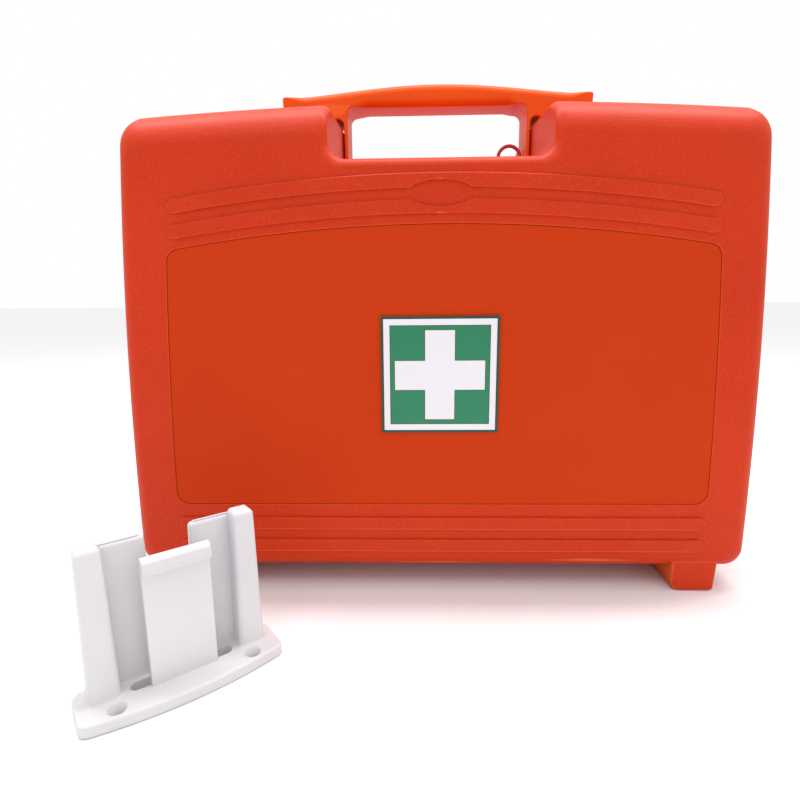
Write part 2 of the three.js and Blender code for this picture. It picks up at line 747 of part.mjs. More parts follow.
function crossOutline(grow) {
  const arm = crossArm + grow;
  const bar = crossBar + grow;
  const quarter = [[bar, -arm], [bar, -bar], [arm, -bar]].map((p) => new THREE.Vector2(...p));
  const centre = new THREE.Vector2();
  const turned = (k) => quarter.map((p) => p.clone().rotateAround(centre, (k * Math.PI) / 2));
  return [0, 1, 2, 3].flatMap(turned);
}

function signPieces() {
  const half = emblemSize / 2;
  const front = -emblemThick;
  return {
    sign_border: slab(square(half + emblemBorder), front + 0.2, 0, [square(half + gap)]),
    sign_frame: slab(square(half), front, 0, [square(half - emblemFrame)]),
    sign_field: slab(square(half - emblemFrame - gap), front + 0.3, 0, [crossOutline(gap)]),
    sign_cross: slab(crossOutline(0), front + 0.3, 0),
  };
}

// Loop of a tamper seal on the handle leg: half an ellipse of round wire
function sealLoop() {
  const arc = new THREE.EllipseCurve(0, 0, loopReach, loopHalf, Math.PI / 2, (3 * Math.PI) / 2).getPoints(18);
  const path = new THREE.CatmullRomCurve3(arc.map((p) => new THREE.Vector3(p.x, 0, p.y)));
  const round = new THREE.EllipseCurve(0, 0, loopWire, loopWire).getPoints(10);
  const section = new THREE.Shape(round.slice(0, -1));
  return new THREE.ExtrudeGeometry(section, { extrudePath: path, steps: 18, bevelEnabled: false });
}

// Packs and rolls
function pack(width, height, depth, corner = 6) {
  const outline = roundCorners([
    [width / 2, -height / 2, corner], [width / 2, height / 2, corner],
    [-width / 2, height / 2, corner], [-width / 2, -height / 2, corner],
  ], 3);
  return slab(outline, -depth / 2, depth / 2);
}

const bandageRoll = (radius, width) => rod('y', radius, -width / 2, width / 2, 24);

function tapeRoll(radius, width) {
  const bore = solid(rod('y', tapeCore, -width, width, 20));
  return solid(rod('y', radius, -width / 2, width / 2, 28)).subtract(bore);
}

// Scissor half about its pivot: blade up, bow down
function scissorHalf(side, y0) {
  const outline = roundCorners(scissorOutline, 3).map((p) => new THREE.Vector2(side * p.x, p.y));
  const [bowX, bowZ] = scissorBow.centre;
  const [bow, eye] = [scissorBow.outer, scissorBow.inner].map(([wide, tall]) => (
    new THREE.EllipseCurve(side * bowX, bowZ, wide, tall).getPoints(24).slice(0, -1)
  ));
  const half = solid(slab(outline, y0, y0 + bladeThick)).add(solid(slab(bow, y0, y0 + bladeThick)));
  return half.subtract(solid(slab(eye, y0 - 1, y0 + bladeThick + 1)))
    .subtract(solid(rod('y', scissorPin + gap, -bladeThick - 1, 2 * bladeThick + 2, 16)));
}

function scissorRivet() {
  const thick = 2 * bladeThick + gap;
  const shank = solid(rod('y', scissorPin, -1, thick + 1, 16));
  return shank.add(solid(rod('y', scissorHead, -scissorHeadRise, -gap, 16)))
    .add(solid(rod('y', scissorHead, thick + gap, thick + scissorHeadRise, 16)));
}

// Wall bracket: a curved-front plate with a slot and two screw holes, two stepped posts and a sprung tongue
function bracketOutline(inset) {
  const half = plateHalf - inset;
  const bow = (t) => [-half * t, -plateFront + inset + plateBow * t ** 2];
  return roundCorners([
    [half, plateBack - inset, plateCorner],
    [-half, plateBack - inset, plateCorner],
    [...bow(1), plateCorner - 1],
    ...[0.75, 0.5, 0.25, 0, -0.25, -0.5, -0.75].map(bow), [...bow(-1), plateCorner - 1],
  ]);
}

const rectangle = (x0, y0, x1, y1, radius) => roundCorners([[x0, y0], [x1, y0], [x1, y1], [x0, y1]]
  .map((p) => [...p, radius]));
const upright = (sections) => loft(sections).rotateX(-Math.PI / 2);

// A tapered post with a domed top
function bracketPost(x0, x1, y0, y1, top) {
  const section = (height, inset) => {
    const radius = Math.min(postCorner, Math.min(x1 - x0, y1 - y0) / 2 - inset - 0.2);
    return { y: -height, points: rectangle(x0 + inset, y0 + inset, x1 - inset, y1 - inset, radius) };
  };
  return upright([section(top, postCorner), section(top - 1, postCorner / 2), section(top - 3.5, postTaper),
    section(plateThick - 2, -postTaper)]);
}

// A countersunk screw hole through the plate
function wallScrewHole(x) {
  const rim = plateThick + 0.1;
  const profile = [
    [0, -1], [wallScrewRadius, -1], [wallScrewRadius, plateThick / 2], [wallScrewHead, rim], [0, rim],
  ];
  return new THREE.LatheGeometry(profile.map(([r, z]) => new THREE.Vector2(r, z)), 20)
    .rotateX(Math.PI / 2).translate(x, wallScrewY, 0);
}

// The tongue, drawn from the side in Y and Z
function tongueStrip(points) {
  const shape = new THREE.Shape(points.map((p) => new THREE.Vector2(...p)));
  return new THREE.ExtrudeGeometry(shape, { depth: tongueHalf * 2, bevelEnabled: false })
    .rotateX(Math.PI / 2).rotateZ(Math.PI / 2).translate(-tongueHalf, 0, 0);
}

function wallBracket() {
  const section = (height, inset) => ({ y: -height, points: bracketOutline(inset) });
  let body = solid(upright([section(plateThick, 1.2), section(plateThick - 1, 0), section(0, 0)]));
  const slot = rectangle(-slotHalf, slotSpan[0], slotHalf, slotSpan[1], slotCorner);
  body = body.subtract(solid(plate(slot, -1, plateThick + 1)));
  for (const side of [-1, 1]) {
    const span = (outer, width) => (side > 0 ? [outer - width, outer] : [-outer, width - outer]);
    body = body.add(solid(bracketPost(...span(postOuter, postWidth), ...postSpan, postTop)));
    body = body.add(solid(bracketPost(...span(innerPostOuter, innerPostWidth), ...innerPostSpan,
      postTop - innerPostDrop)));
    body = body.subtract(solid(wallScrewHole((side * screwSpacing) / 2)));
  }
  const back = tongueFace + tongueThick;
  const stem = [[tongueFace, 2], [back, 2], [back, tongueTop], [tongueFace, tongueTop]];
  const lip = tongueLip.map(([y, z]) => [tongueFace + y, tongueTop + z]);
  return body.add(solid(tongueStrip(stem))).add(solid(tongueStrip(lip)));
}

// Assembly
const kit = new THREE.Group();
const caseGroup = new THREE.Group();
kit.add(caseGroup);

function add(name, shape, material, x = 0, y = 0, z = 0) {
  const mesh = piece(name, shape, material);
  mesh.position.set(x, y, z);
  caseGroup.add(mesh);
}

add('front_shell', frontShell(), shellOrange);
add('rear_shell', rearShell(), shellOrange);
add('rim_seal', sealRing(), rubber);
add('carry_handle', carryHandle(), handleOrange);
add('seal_loop', sealLoop(), sealRed, notchHalf - 2 * gap - legThick, 0,
  notchFloor + notchCorner + loopRise);
const labelFront = -shellDepth + panelDepth - gap - labelThick;
add('label_panel', slab(panelOutline(gap), 0, labelThick), labelOrange, 0, labelFront);
const signColours = {
  sign_border: darkGreen, sign_frame: white, sign_field: signGreen, sign_cross: white,
};
for (const [name, shape] of Object.entries(signPieces())) {
  add(name, shape, signColours[name], 0, labelFront - gap, emblemLevel);
}

for (const [side, word] of [[-1, 'left'], [1, 'right']]) {
  add(`hinge_pin_${word}`, rod('x', pinRadius, -hingeLength / 2, hingeLength / 2, 16), steel,
    side * hingeX, 0, hingeLevel);
  add(`handle_screw_${word}`, handleScrew(side), steel);
  add(`latch_knob_${word}`, latchKnob(), white, side * latchX, latchY, knobSeat);
  add(`latch_cam_${word}`, latchCam(), steel, side * latchX, latchY, camTop);
  add(`latch_screw_${word}`, latchScrew(), steel, side * latchX, latchY, camTop - camThick - gap);
}

add('rear_insert', insertTray(1, shelfLevel), grey);
add('lid_insert', insertTray(-1, lidShelfLevel), grey);
add('cover_rod', rod('x', coverRodRadius, -lugX - 3, lugX + 3, 16), steel, 0, rodY, coverLevel);
add('rear_cover', rearCover(), clear);
add('lid_cover', lidCover(), clear);
rivetPlaces().forEach(([x, z], k) => add(`cover_rivet_${k + 1}`, pushRivet(), grey, x, -coverY, z));

// Rear contents
const wide = compartment(1, -1, 0);
const half = (space) => (space.depth - packClear) / 2;
[-1, 1].forEach((side, k) => {
  const y = wide.y + (side * (half(wide) + packClear)) / 2;
  const shape = pack(wide.width, wide.height - dressingStep * k, half(wide), packEdge.dressing);
  add(`dressing_pack_${k + 1}`, shape, film, wide.x, y, wide.z - (dressingStep / 2) * k);
});

const middle = compartment(1, 0, 0);
const boxWidth = (middle.width - packClear) * plasterShare.width;
const boxHeight = middle.height * plasterShare.height;
add('plaster_box', pack(boxWidth, boxHeight, middle.depth * plasterShare.depth, packEdge.carton), paper,
  middle.x - (middle.width - boxWidth) / 2, middle.y, middle.z - (middle.height - boxHeight) / 2);
const tapeRadius = Math.min((middle.width - boxWidth - packClear) / 2, (middle.height - gap) / 4);
const tapeX = middle.x + middle.width / 2 - tapeRadius;
const tapeFloor = middle.z - middle.height / 2;
tapeWidths.forEach((width, k) => {
  const z = tapeFloor + tapeRadius + k * (2 * tapeRadius + gap);
  add(`tape_roll_${k + 1}`, tapeRoll(tapeRadius, width), paper, tapeX, middle.y, z);
});

const upper = compartment(1, -1, 1);
const layer = (upper.height - 2 * packClear) / 3;
[0, 1, 2].forEach((k) => {
  const [width, depth] = [upper.width - 4 * k, upper.depth - 3 * k];
  const z = upper.z + (k - 1) * (layer + packClear);
  add(`triangular_bandage_${k + 1}`, pack(width, layer, depth, packEdge.bandage), film, upper.x, upper.y, z);
});

const rolls = compartment(1, 0, 1);
const rollRadius = (rolls.width - 2 * packClear) / 6;
[-1, 0, 1].forEach((k) => {
  const z = rolls.z - rolls.height / 2 + rollRadius;
  const x = rolls.x + k * (2 * rollRadius + packClear);
  add(`bandage_roll_${k + 2}`, bandageRoll(rollRadius, rolls.depth), gauze, x, rolls.y, z);
});
const above = rolls.height - 2 * rollRadius - packClear;
add('glove_pack', pack(rolls.width, above, rolls.depth * gloveDepthShare, packEdge.glove), gloveBlue,
  rolls.x, rolls.y, rolls.z + rolls.height / 2 - above / 2);

const tools = compartment(1, 1, 1);
const bladeY = tools.y - tools.depth / 2;
const pivotZ = tools.low + scissorPivot;
add('scissor_blade_a', scissorHalf(1, 0), steel, tools.x, bladeY, pivotZ);
add('scissor_blade_b', scissorHalf(-1, bladeThick + gap), steel, tools.x, bladeY, pivotZ);
add('scissor_rivet', scissorRivet(), steel, tools.x, bladeY, pivotZ);
const behind = tools.depth - 2 * bladeThick - 3 * packClear;
const blanketHeight = tools.height * blanketShare;
add('rescue_blanket', pack(tools.width, blanketHeight, behind, packEdge.bandage), foil, tools.x,
  tools.y + (tools.depth - behind) / 2, tools.z - (tools.height - blanketHeight) / 2);

// Lid contents
[-1, 1].forEach((column, c) => {
  const space = compartment(-1, column, 0);
  const high = (space.height - packClear) / 2;
  compressDepths.forEach((share, k) => {
    const z = space.low + packClear + high / 2 + k * (high + packClear);
    const shape = pack(space.width, high, space.depth * share, packEdge.compress);
    add(`compress_pack_${2 * c + k + 1}`, shape, paper, space.x, space.y, z);
  });
});
const front = compartment(-1, 0, 0);
const bookletHeight = front.height * bookletShare;
add('guide_booklet', pack(front.width, bookletHeight, bookletThick, packEdge.booklet), card, front.x,
  front.y + front.depth / 2 - bookletThick / 2, front.z - (front.height - bookletHeight) / 2);
const coldHeight = front.height * coldShare.height;
const coldDepth = front.depth - bookletThick - 2 * packClear;
add('cold_pack', pack(front.width * coldShare.width, coldHeight, coldDepth, packEdge.cold), gloveBlue,
  front.x, front.y - bookletThick / 2 - packClear, front.z - (front.height - coldHeight) / 2);
const high = compartment(-1, 0, 1);
const eyeWidth = (high.width - packClear) / 2;
const eyeHeight = high.height * eyeShare.height;
[-1, 1].forEach((side, k) => {
  const shape = pack(eyeWidth, eyeHeight, high.depth * eyeShare.depth, packEdge.eye);
  const x = high.x + (side * (high.width + packClear)) / 4;
  add(`eye_dressing_${k + 1}`, shape, film, x, high.y, high.z - (high.height - eyeHeight) / 2);
});
const corner = compartment(-1, -1, 1);
add('sling_pack', pack(corner.width, corner.height, corner.depth * slingDepthShare, packEdge.sling), gauze,
  corner.x, corner.y, corner.z);

const bracket = piece('wall_bracket', wallBracket(), white);
bracket.position.set(bracketX, -shellDepth - bracketAhead, 0);
bracket.rotation.z = THREE.MathUtils.degToRad(bracketTurn);
kit.add(bracket);

// Origin: the middle of the kit's outer box, at floor level
kit.updateMatrixWorld(true);
const extent = new THREE.Box3().setFromObject(kit, true);
const centre = extent.getCenter(new THREE.Vector3());
kit.position.set(-centre.x, -centre.y, -extent.min.z);

export default kit;
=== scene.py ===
import math
import bpy
import bmesh
import numpy as np
from mathutils import Matrix, Vector


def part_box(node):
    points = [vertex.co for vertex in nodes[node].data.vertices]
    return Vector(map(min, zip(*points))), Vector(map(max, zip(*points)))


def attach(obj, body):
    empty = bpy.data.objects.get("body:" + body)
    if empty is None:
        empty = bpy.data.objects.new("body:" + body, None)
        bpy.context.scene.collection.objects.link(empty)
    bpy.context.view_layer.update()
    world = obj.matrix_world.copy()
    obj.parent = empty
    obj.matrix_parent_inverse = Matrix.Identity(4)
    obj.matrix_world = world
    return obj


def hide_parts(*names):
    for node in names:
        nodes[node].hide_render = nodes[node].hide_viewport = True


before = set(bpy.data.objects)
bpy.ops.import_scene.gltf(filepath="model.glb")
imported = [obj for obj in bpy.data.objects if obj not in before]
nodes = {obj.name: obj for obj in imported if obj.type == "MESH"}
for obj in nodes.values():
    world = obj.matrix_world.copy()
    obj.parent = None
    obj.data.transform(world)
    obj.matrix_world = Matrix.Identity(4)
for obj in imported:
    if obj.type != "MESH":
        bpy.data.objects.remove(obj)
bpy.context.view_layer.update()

scene = bpy.context.scene
print("frame loaded:", len(nodes), "nodes")

mm = 0.001
shellDepth = 75  # of each shell, from the seam to its face, in millimetres
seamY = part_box("rear_shell")[1].y / mm - shellDepth

cameraSpec = {
    "lens": 24.15, "sensor": 36, "clip": (0.01, 50),
    "place": (-15.6, -401.4, 191.3), "yaw": 1.57, "pitch": 10.90, "roll": 0.51,
}


def makeCamera(spec):
    yaw, pitch, roll = (math.radians(spec[k]) for k in ("yaw", "pitch", "roll"))
    ahead = Vector((-math.sin(yaw) * math.cos(pitch), math.cos(yaw) * math.cos(pitch), -math.sin(pitch)))
    level = Vector((math.cos(yaw), math.sin(yaw), 0))
    down = ahead.cross(level)
    right = level * math.cos(roll) + down * math.sin(roll)
    down = down * math.cos(roll) - level * math.sin(roll)
    data = bpy.data.cameras.new("camera")
    data.lens = spec["lens"]
    data.sensor_width = spec["sensor"]
    data.clip_start, data.clip_end = spec["clip"]
    camera = bpy.data.objects.new("camera", data)
    turn = Matrix((right, -down, -ahead)).transposed().to_4x4()
    x, y, z = spec["place"]
    camera.matrix_world = Matrix.Translation((x * mm, (y + seamY) * mm, z * mm)) @ turn
    scene.collection.objects.link(camera)
    scene.camera = camera


makeCamera(cameraSpec)


class Sock:
    # wraps a shader socket, so that maths on patterns reads as plain expressions

    def __init__(self, build, link):
        self.build = build
        self.link = link

    def math(self, kind, *others):
        return self.build.maths(kind, self, *others)

    def __add__(self, other):
        return self.math("ADD", other)

    def __sub__(self, other):
        return self.math("SUBTRACT", other)

    def __mul__(self, other):
        return self.math("MULTIPLY", other)

    def __truediv__(self, other):
        return self.math("DIVIDE", other)

    __radd__ = __add__
    __rmul__ = __mul__

    def __rsub__(self, other):
        return self.build.maths("SUBTRACT", other, self)

    def __rtruediv__(self, other):
        return self.build.maths("DIVIDE", other, self)

    def above(self, level, soft):
        # 0 under level - soft, 1 over level + soft, and a smooth step between
        limits = {"From Min": level - soft, "From Max": level + soft, "To Min": 0.0, "To Max": 1.0}
        return self.build.node("ShaderNodeMapRange", {"interpolation_type": "SMOOTHSTEP"},
                               {"Value": self, **limits})


class Finish:
    # one material; every node comes from node()

    def __init__(self, name, **surface):
        self.material = bpy.data.materials.new(name)
        self.material.use_nodes = True
        self.tree = self.material.node_tree
        self.tree.nodes.clear()
        self.output = self.tree.nodes.new("ShaderNodeOutputMaterial")
        self.shader = self.tree.nodes.new("ShaderNodeBsdfPrincipled")
        self.tree.links.new(self.shader.outputs["BSDF"], self.output.inputs["Surface"])
        self.place = self.node("ShaderNodeTexCoord", {}, {}, "Object")
        for key, value in surface.items():
            self.set(key, value)

    def put(self, socket, value):
        if isinstance(value, Sock):
            self.tree.links.new(value.link, socket)
        elif isinstance(value, (tuple, list)) and len(value) == 3 and socket.type == "RGBA":
            socket.default_value = (*value, 1)
        else:
            socket.default_value = value

    def node(self, kind, settings, values, out=0):
        made = self.tree.nodes.new(kind)
        for key, value in settings.items():
            setattr(made, key, value)
        pairs = enumerate(values) if isinstance(values, list) else values.items()
        for key, value in pairs:
            self.put(made.inputs[key], value)
        return Sock(self, made.outputs[out])

    def maths(self, kind, *values):
        return self.node("ShaderNodeMath", {"operation": kind}, list(values))

    def set(self, name, value):
        self.put(self.shader.inputs[name], value)

    def mapped(self, scale, turn=(0, 0, 0)):
        values = {"Vector": self.place, "Scale": scale, "Rotation": turn}
        return self.node("ShaderNodeMapping", {}, values)

    def noise(self, scale, detail=2.0, rough=0.5, place=None):
        values = {"Vector": place or self.place, "Scale": scale, "Detail": detail, "Roughness": rough}
        return self.node("ShaderNodeTexNoise", {}, values, "Fac")

    def cells(self, scale, place=None):
        # distance from the middles of rounded cells
        values = {"Vector": place or self.place, "Scale": scale}
        return self.node("ShaderNodeTexVoronoi", {"feature": "SMOOTH_F1"}, values, "Distance")

    def waves(self, scale, direction, bend):
        settings = {"wave_profile": "SIN", "bands_direction": direction}
        values = {"Vector": self.place, "Scale": scale, "Distortion": bend, "Detail": 1.0}
        return self.node("ShaderNodeTexWave", settings, values, "Fac")

    def mix(self, share, first, second):
        return self.node("ShaderNodeMix", {"data_type": "RGBA"}, {0: share, 6: first, 7: second}, 2)

    def bump(self, height, distance, strength=1.0):
        values = {"Height": height, "Distance": distance, "Strength": strength}
        return self.node("ShaderNodeBump", {}, values, "Normal")

    def edgeWear(self, level=0.54, soft=0.035):
        # 1 along outer edges, from the mesh's own curvature: the mask for worn edges and painted highlights
        return self.node("ShaderNodeNewGeometry", {}, {}, "Pointiness").above(level, soft)

    def grain(self, size, depth, finer=1.7, share=0.65, strength=0.6):
        # moulded grain, in metres: a share of rounded cells, and the rest noise that is finer
        height = self.cells(1 / size) * share + self.noise(finer / size, 1.0) * (1 - share)
        return self.bump(height, depth, strength)


# what every plastic starts from; scales are cells per metre, and the rest are shares
moulded = {
    "ior": 1.5, "gloss": 0.5, "wear": 0.35, "drift": 14, "speckle": 0.25, "speckleScale": 900,
    "smudge": 0.12, "smudgeScale": 38,
}


def shellPlastic(name, spec):
    # coloured plastic: slow colour drift, mould grain, and outer edges painted lighter, part rubbed wear and
    # part painted highlight
    look = {**moulded, **spec}
    made = Finish(name, **{"IOR": look["ior"], "Specular IOR Level": look["gloss"]})
    drift = made.noise(look["drift"], 3.0, 0.6)
    speckle = made.noise(look["speckleScale"], 2.0, 0.7)
    base = made.mix(drift.above(0.5, 0.25), look["colour"], look["deep"])
    base = made.mix(speckle.above(0.62, 0.12) * look["speckle"], base, look["pale"])
    # outer edges mixed towards the pale colour: part rubbed wear, part painted highlight along the edges
    base = made.mix(made.edgeWear() * look["wear"], base, look["pale"])
    made.set("Base Color", base)
    smudge = made.noise(look["smudgeScale"], 4.0, 0.65)
    made.set("Roughness", smudge * look["smudge"] + (look["rough"] - look["smudge"] / 2))
    made.set("Normal", made.grain(look["grain"], look["relief"]))
    return made.material


plastics = {
    # the shell's larger edge share paints highlights along its band and shell edges
    "shellOrange": {
        "colour": (0.55, 0.029, 0.0002), "deep": (0.51, 0.023, 0.0001), "pale": (0.78, 0.16, 0.03),
        "rough": 0.48, "grain": 0.0011, "relief": 0.00006, "speckle": 0.18, "gloss": 0.2, "wear": 0.55},
    "labelOrange": {
        "colour": (0.52, 0.036, 0.001), "deep": (0.505, 0.033, 0.0008), "pale": (0.56, 0.055, 0.005),
        "rough": 0.62, "grain": 0.0022, "relief": 0.00001, "speckle": 0.06, "gloss": 0.12, "wear": 0.1},
    "handleOrange": {
        "colour": (0.78, 0.085, 0.001), "deep": (0.72, 0.07, 0.001), "pale": (0.90, 0.20, 0.04),
        "rough": 0.40, "grain": 0.0013, "relief": 0.00003, "speckle": 0.12, "gloss": 0.15},
    "whitePlastic": {
        "colour": (0.64, 0.63, 0.645), "deep": (0.60, 0.585, 0.61), "pale": (0.74, 0.73, 0.74),
        "rough": 0.50, "grain": 0.0016, "relief": 0.00003, "speckle": 0.15, "gloss": 0.35},
    "greyPlastic": {
        "colour": (0.30, 0.32, 0.34), "deep": (0.26, 0.28, 0.30), "pale": (0.42, 0.44, 0.46),
        "rough": 0.52, "grain": 0.0014, "relief": 0.00004},
    "sealRed": {
        "colour": (0.52, 0.006, 0.006), "deep": (0.42, 0.004, 0.004), "pale": (0.65, 0.03, 0.03),
        "rough": 0.32, "grain": 0.0009, "relief": 0.00002},
    "rubberBlack": {
        "colour": (0.022, 0.022, 0.024), "deep": (0.016, 0.016, 0.018), "pale": (0.05, 0.05, 0.052),
        "rough": 0.80, "grain": 0.0008, "relief": 0.00003, "gloss": 0.3},
    "signWhite": {
        "colour": (0.76, 0.74, 0.77), "deep": (0.72, 0.70, 0.74), "pale": (0.82, 0.81, 0.82),
        "rough": 0.40, "grain": 0.0030, "relief": 0.00001, "speckle": 0.1, "wear": 0.0},
    "signGreen": {
        "colour": (0.005, 0.19, 0.085), "deep": (0.004, 0.165, 0.072), "pale": (0.05, 0.30, 0.17),
        "rough": 0.36, "grain": 0.0030, "relief": 0.00001, "speckle": 0.35, "wear": 0.0},
    "borderGreen": {
        "colour": (0.003, 0.055, 0.028), "deep": (0.002, 0.045, 0.022), "pale": (0.02, 0.12, 0.07),
        "rough": 0.40, "grain": 0.0030, "relief": 0.00001, "speckle": 0.1, "wear": 0.0},
}
finishes = {name: shellPlastic(name, spec) for name, spec in plastics.items()}


def brushedSteel():
    # steel with streaks 40 times as long as they are wide
    made = Finish("brushedSteel", Metallic=1.0)
    streaks = made.noise(60, 4.0, 0.7, made.mapped(scale=(1, 40, 40)))
    made.set("Base Color", made.mix(streaks, (0.52, 0.53, 0.55), (0.68, 0.69, 0.70)))
    made.set("Roughness", streaks * 0.22 + 0.20)
    made.set("Normal", made.bump(streaks, 0.00002, 0.5))
    return made.material


def clearSheet():
    # clear cover with faint scratches and dust
    made = Finish("clearSheet", IOR=1.46)
    scratch = made.noise(90, 5.0, 0.8, made.mapped(scale=(1, 9, 1), turn=(0, 0.5, 0)))
    made.set("Base Color", made.mix(scratch.above(0.6, 0.1), (0.80, 0.86, 0.88), (0.93, 0.95, 0.96)))
    made.set("Roughness", scratch * 0.10 + 0.06)
    made.set("Alpha", scratch.above(0.66, 0.1) * 0.10 + 0.24)
    made.set("Normal", made.bump(made.noise(25, 2.0), 0.0002, 0.3))
    return made.material


def overprinted(made, shade, printed, ink):
    # a band that repeats up the piece: printed where the height, in pitches, is past 1 - share
    height = made.node("ShaderNodeSeparateXYZ", {}, [made.place], "Z")
    band = (height / (printed["pitch"] * mm)).math("FRACT").above(1 - printed["share"], 0.02)
    return made.mix(band * ink, shade, printed["colour"])


def wrapFilm(name, colour, printed=None, rough=0.28):
    # sealed film: crinkles, a soft sheen, and a generic printed band
    made = Finish(name, IOR=1.48)
    crinkle = made.cells(70, made.mapped(scale=(1, 1, 0.8)))
    fine = made.noise(230, 4.0, 0.6)
    shade = made.mix(fine, colour, tuple(min(1, c * 1.12 + 0.02) for c in colour))
    if printed:
        shade = overprinted(made, shade, printed, 0.85)
    made.set("Base Color", shade)
    made.set("Roughness", fine * 0.18 + rough)
    made.set("Normal", made.bump(crinkle * 0.7 + fine * 0.3, 0.0011, 0.55))
    return made.material


def paperFinish(name, colour, printed=None):
    # uncoated paper or card: fibres, and a generic printed band
    made = Finish(name, IOR=1.45)
    fibres = made.noise(700, 5.0, 0.75)
    cloud = made.noise(30, 3.0)
    shade = made.mix(cloud * 0.5 + fibres * 0.5, colour, tuple(c * 0.88 for c in colour))
    if printed:
        shade = overprinted(made, shade, printed, 0.9)
    made.set("Base Color", shade)
    made.set("Roughness", fibres * 0.15 + 0.62)
    made.set("Normal", made.bump(fibres, 0.00008, 0.7))
    return made.material


# gap is painted shade in the openings between threads; thread is the cloth's own colour
weave = {
    "scale": 240, "bend": 0.4, "relief": 0.0005, "gap": (0.60, 0.57, 0.50), "thread": (0.88, 0.86, 0.80),
}


def gauzeFinish():
    # open plain weave: the higher of two waves, one across and one upwards, 1.3 mm apart
    made = Finish("gauze", **{"Sheen Weight": 0.25, "Sheen Roughness": 0.6})
    warp, weft = (made.waves(weave["scale"], direction, weave["bend"]) for direction in "XZ")
    cloth = warp.math("MAXIMUM", weft)
    fuzz = made.noise(900, 3.0, 0.7)
    # the openings of the weave are painted darker: painted shade between the threads
    made.set("Base Color", made.mix(cloth.above(0.55, 0.3), weave["gap"], weave["thread"]))
    made.set("Roughness", fuzz * 0.1 + 0.85)
    made.set("Normal", made.bump(cloth * 0.8 + fuzz * 0.2, weave["relief"], 0.8))
    return made.material


def goldFoil():
    # metal film in soft folds, with fine creases
    made = Finish("goldFoil", Metallic=0.95)
    folds = made.cells(95, made.mapped(scale=(1, 1, 1.6), turn=(0.3, 0.2, 0.4)))
    fine = made.noise(260, 5.0, 0.7)
    made.set("Base Color", made.mix(folds, (0.86, 0.60, 0.20), (0.95, 0.78, 0.42)))
    made.set("Roughness", fine * 0.15 + 0.14)
    made.set("Normal", made.bump(folds * 0.7 + fine * 0.3, 0.0022, 0.8))
    return made.material


greenInk = (0.01, 0.22, 0.11)
blueInk = (0.03, 0.12, 0.32)
finishes.update({
    "brushedSteel": brushedSteel(),
    "clearSheet": clearSheet(),
    "whiteFilm": wrapFilm("whiteFilm", (0.72, 0.76, 0.78),
                          {"pitch": 34, "share": 0.22, "colour": greenInk}),
    "blueFilm": wrapFilm("blueFilm", (0.10, 0.27, 0.50)),
    "gelBlue": wrapFilm("gelBlue", (0.22, 0.50, 0.68), rough=0.2),
    "packPaper": paperFinish("packPaper", (0.86, 0.86, 0.82),
                             {"pitch": 47, "share": 0.18, "colour": blueInk}),
    "boxCard": paperFinish("boxCard", (0.84, 0.83, 0.78),
                           {"pitch": 92, "share": 0.35, "colour": greenInk}),
    "tapePaper": paperFinish("tapePaper", (0.83, 0.78, 0.68)),
    "bookletCard": paperFinish("bookletCard", (0.03, 0.24, 0.13)),
    "gauze": gauzeFinish(),
    "goldFoil": goldFoil(),
})
print("finishes made:", len(finishes))


# surfaces, in millimetres in the case's own frame: seam at y = 0, floor at z = 0

def gridFaces(rows, cols):
    # quads of a grid of rows by cols points, its last column joined to its first
    r = np.arange(rows - 1)[:, None]
    c = np.arange(cols)[None, :]
    ahead = (c + 1) % cols
    corners = (r * cols + c, r * cols + ahead, (r + 1) * cols + ahead, (r + 1) * cols + c)
    return np.stack(np.broadcast_arrays(*corners), -1).reshape(-1, 4)


def closedGrid(rows, cols):
    # a grid whose last row joins its first, as its columns do
    return (gridFaces(rows + 1, cols) % (rows * cols)).tolist()


def ringBody(rings, paired=False):
    # rings (R, N, 3) joined row by row, with a flat face on the first and the last; a paired end is
    # a strip of quads between point i and point N - 1 - i
    rows, cols = rings.shape[:2]
    faces = gridFaces(rows, cols).tolist()
    last = (rows - 1) * cols
    if paired:
        i = np.arange(cols // 2 - 1)
        strip = np.stack((i, cols - 1 - i, cols - 2 - i, i + 1), -1)
        faces += strip.tolist() + (strip[:, ::-1] + last).tolist()
    else:
        faces += [list(range(cols))[::-1], list(range(last, last + cols))]
    return rings.reshape(-1, 3), faces


def unit(v):
    # each vector divided by its length
    return v / np.maximum(np.linalg.norm(v, axis=-1, keepdims=True), 1e-9)


def cornerArc(before, here, after, radius, steps):
    # the centre is on the bisector, radius / sin(half the angle) from the corner, and the arc is
    # the vector to the first tangent point turned in equal steps to the second
    back, ahead = unit(before - here), unit(after - here)
    radius = np.asarray(radius, float)[..., None]
    half = np.arccos(np.clip((back * ahead).sum(-1, keepdims=True), -1, 1)) / 2
    centre = here + unit(back + ahead) * radius / np.sin(half)
    start = here + back * radius / np.tan(half) - centre
    end = here + ahead * radius / np.tan(half) - centre
    cross = start[..., 0] * end[..., 1] - start[..., 1] * end[..., 0]
    turn = np.arctan2(cross, (start * end).sum(-1))[..., None] * np.linspace(0, 1, steps + 1)
    x = centre[..., :1] + start[..., :1] * np.cos(turn) - start[..., 1:] * np.sin(turn)
    y = centre[..., 1:] + start[..., :1] * np.sin(turn) + start[..., 1:] * np.cos(turn)
    return np.stack((x, y), -1)


def roundedPath(corners, steps=6):
    # a closed outline from corners (x, z, radius); a corner of radius 0 stays one point
    table = np.array(corners, float)
    points, radii = table[:, :2], table[:, 2]
    before, after = np.roll(points, 1, 0), np.roll(points, -1, 0)
    arcs = cornerArc(before, points, after, np.maximum(radii, 1e-6), steps)
    kept = (radii[:, None] > 0) | (np.arange(steps + 1)[None, :] == 0)
    return arcs[kept]


def rectangle(x0, z0, x1, z1, radius, steps=8):
    return roundedPath([(x0, z0, radius), (x1, z0, radius), (x1, z1, radius), (x0, z1, radius)], steps)


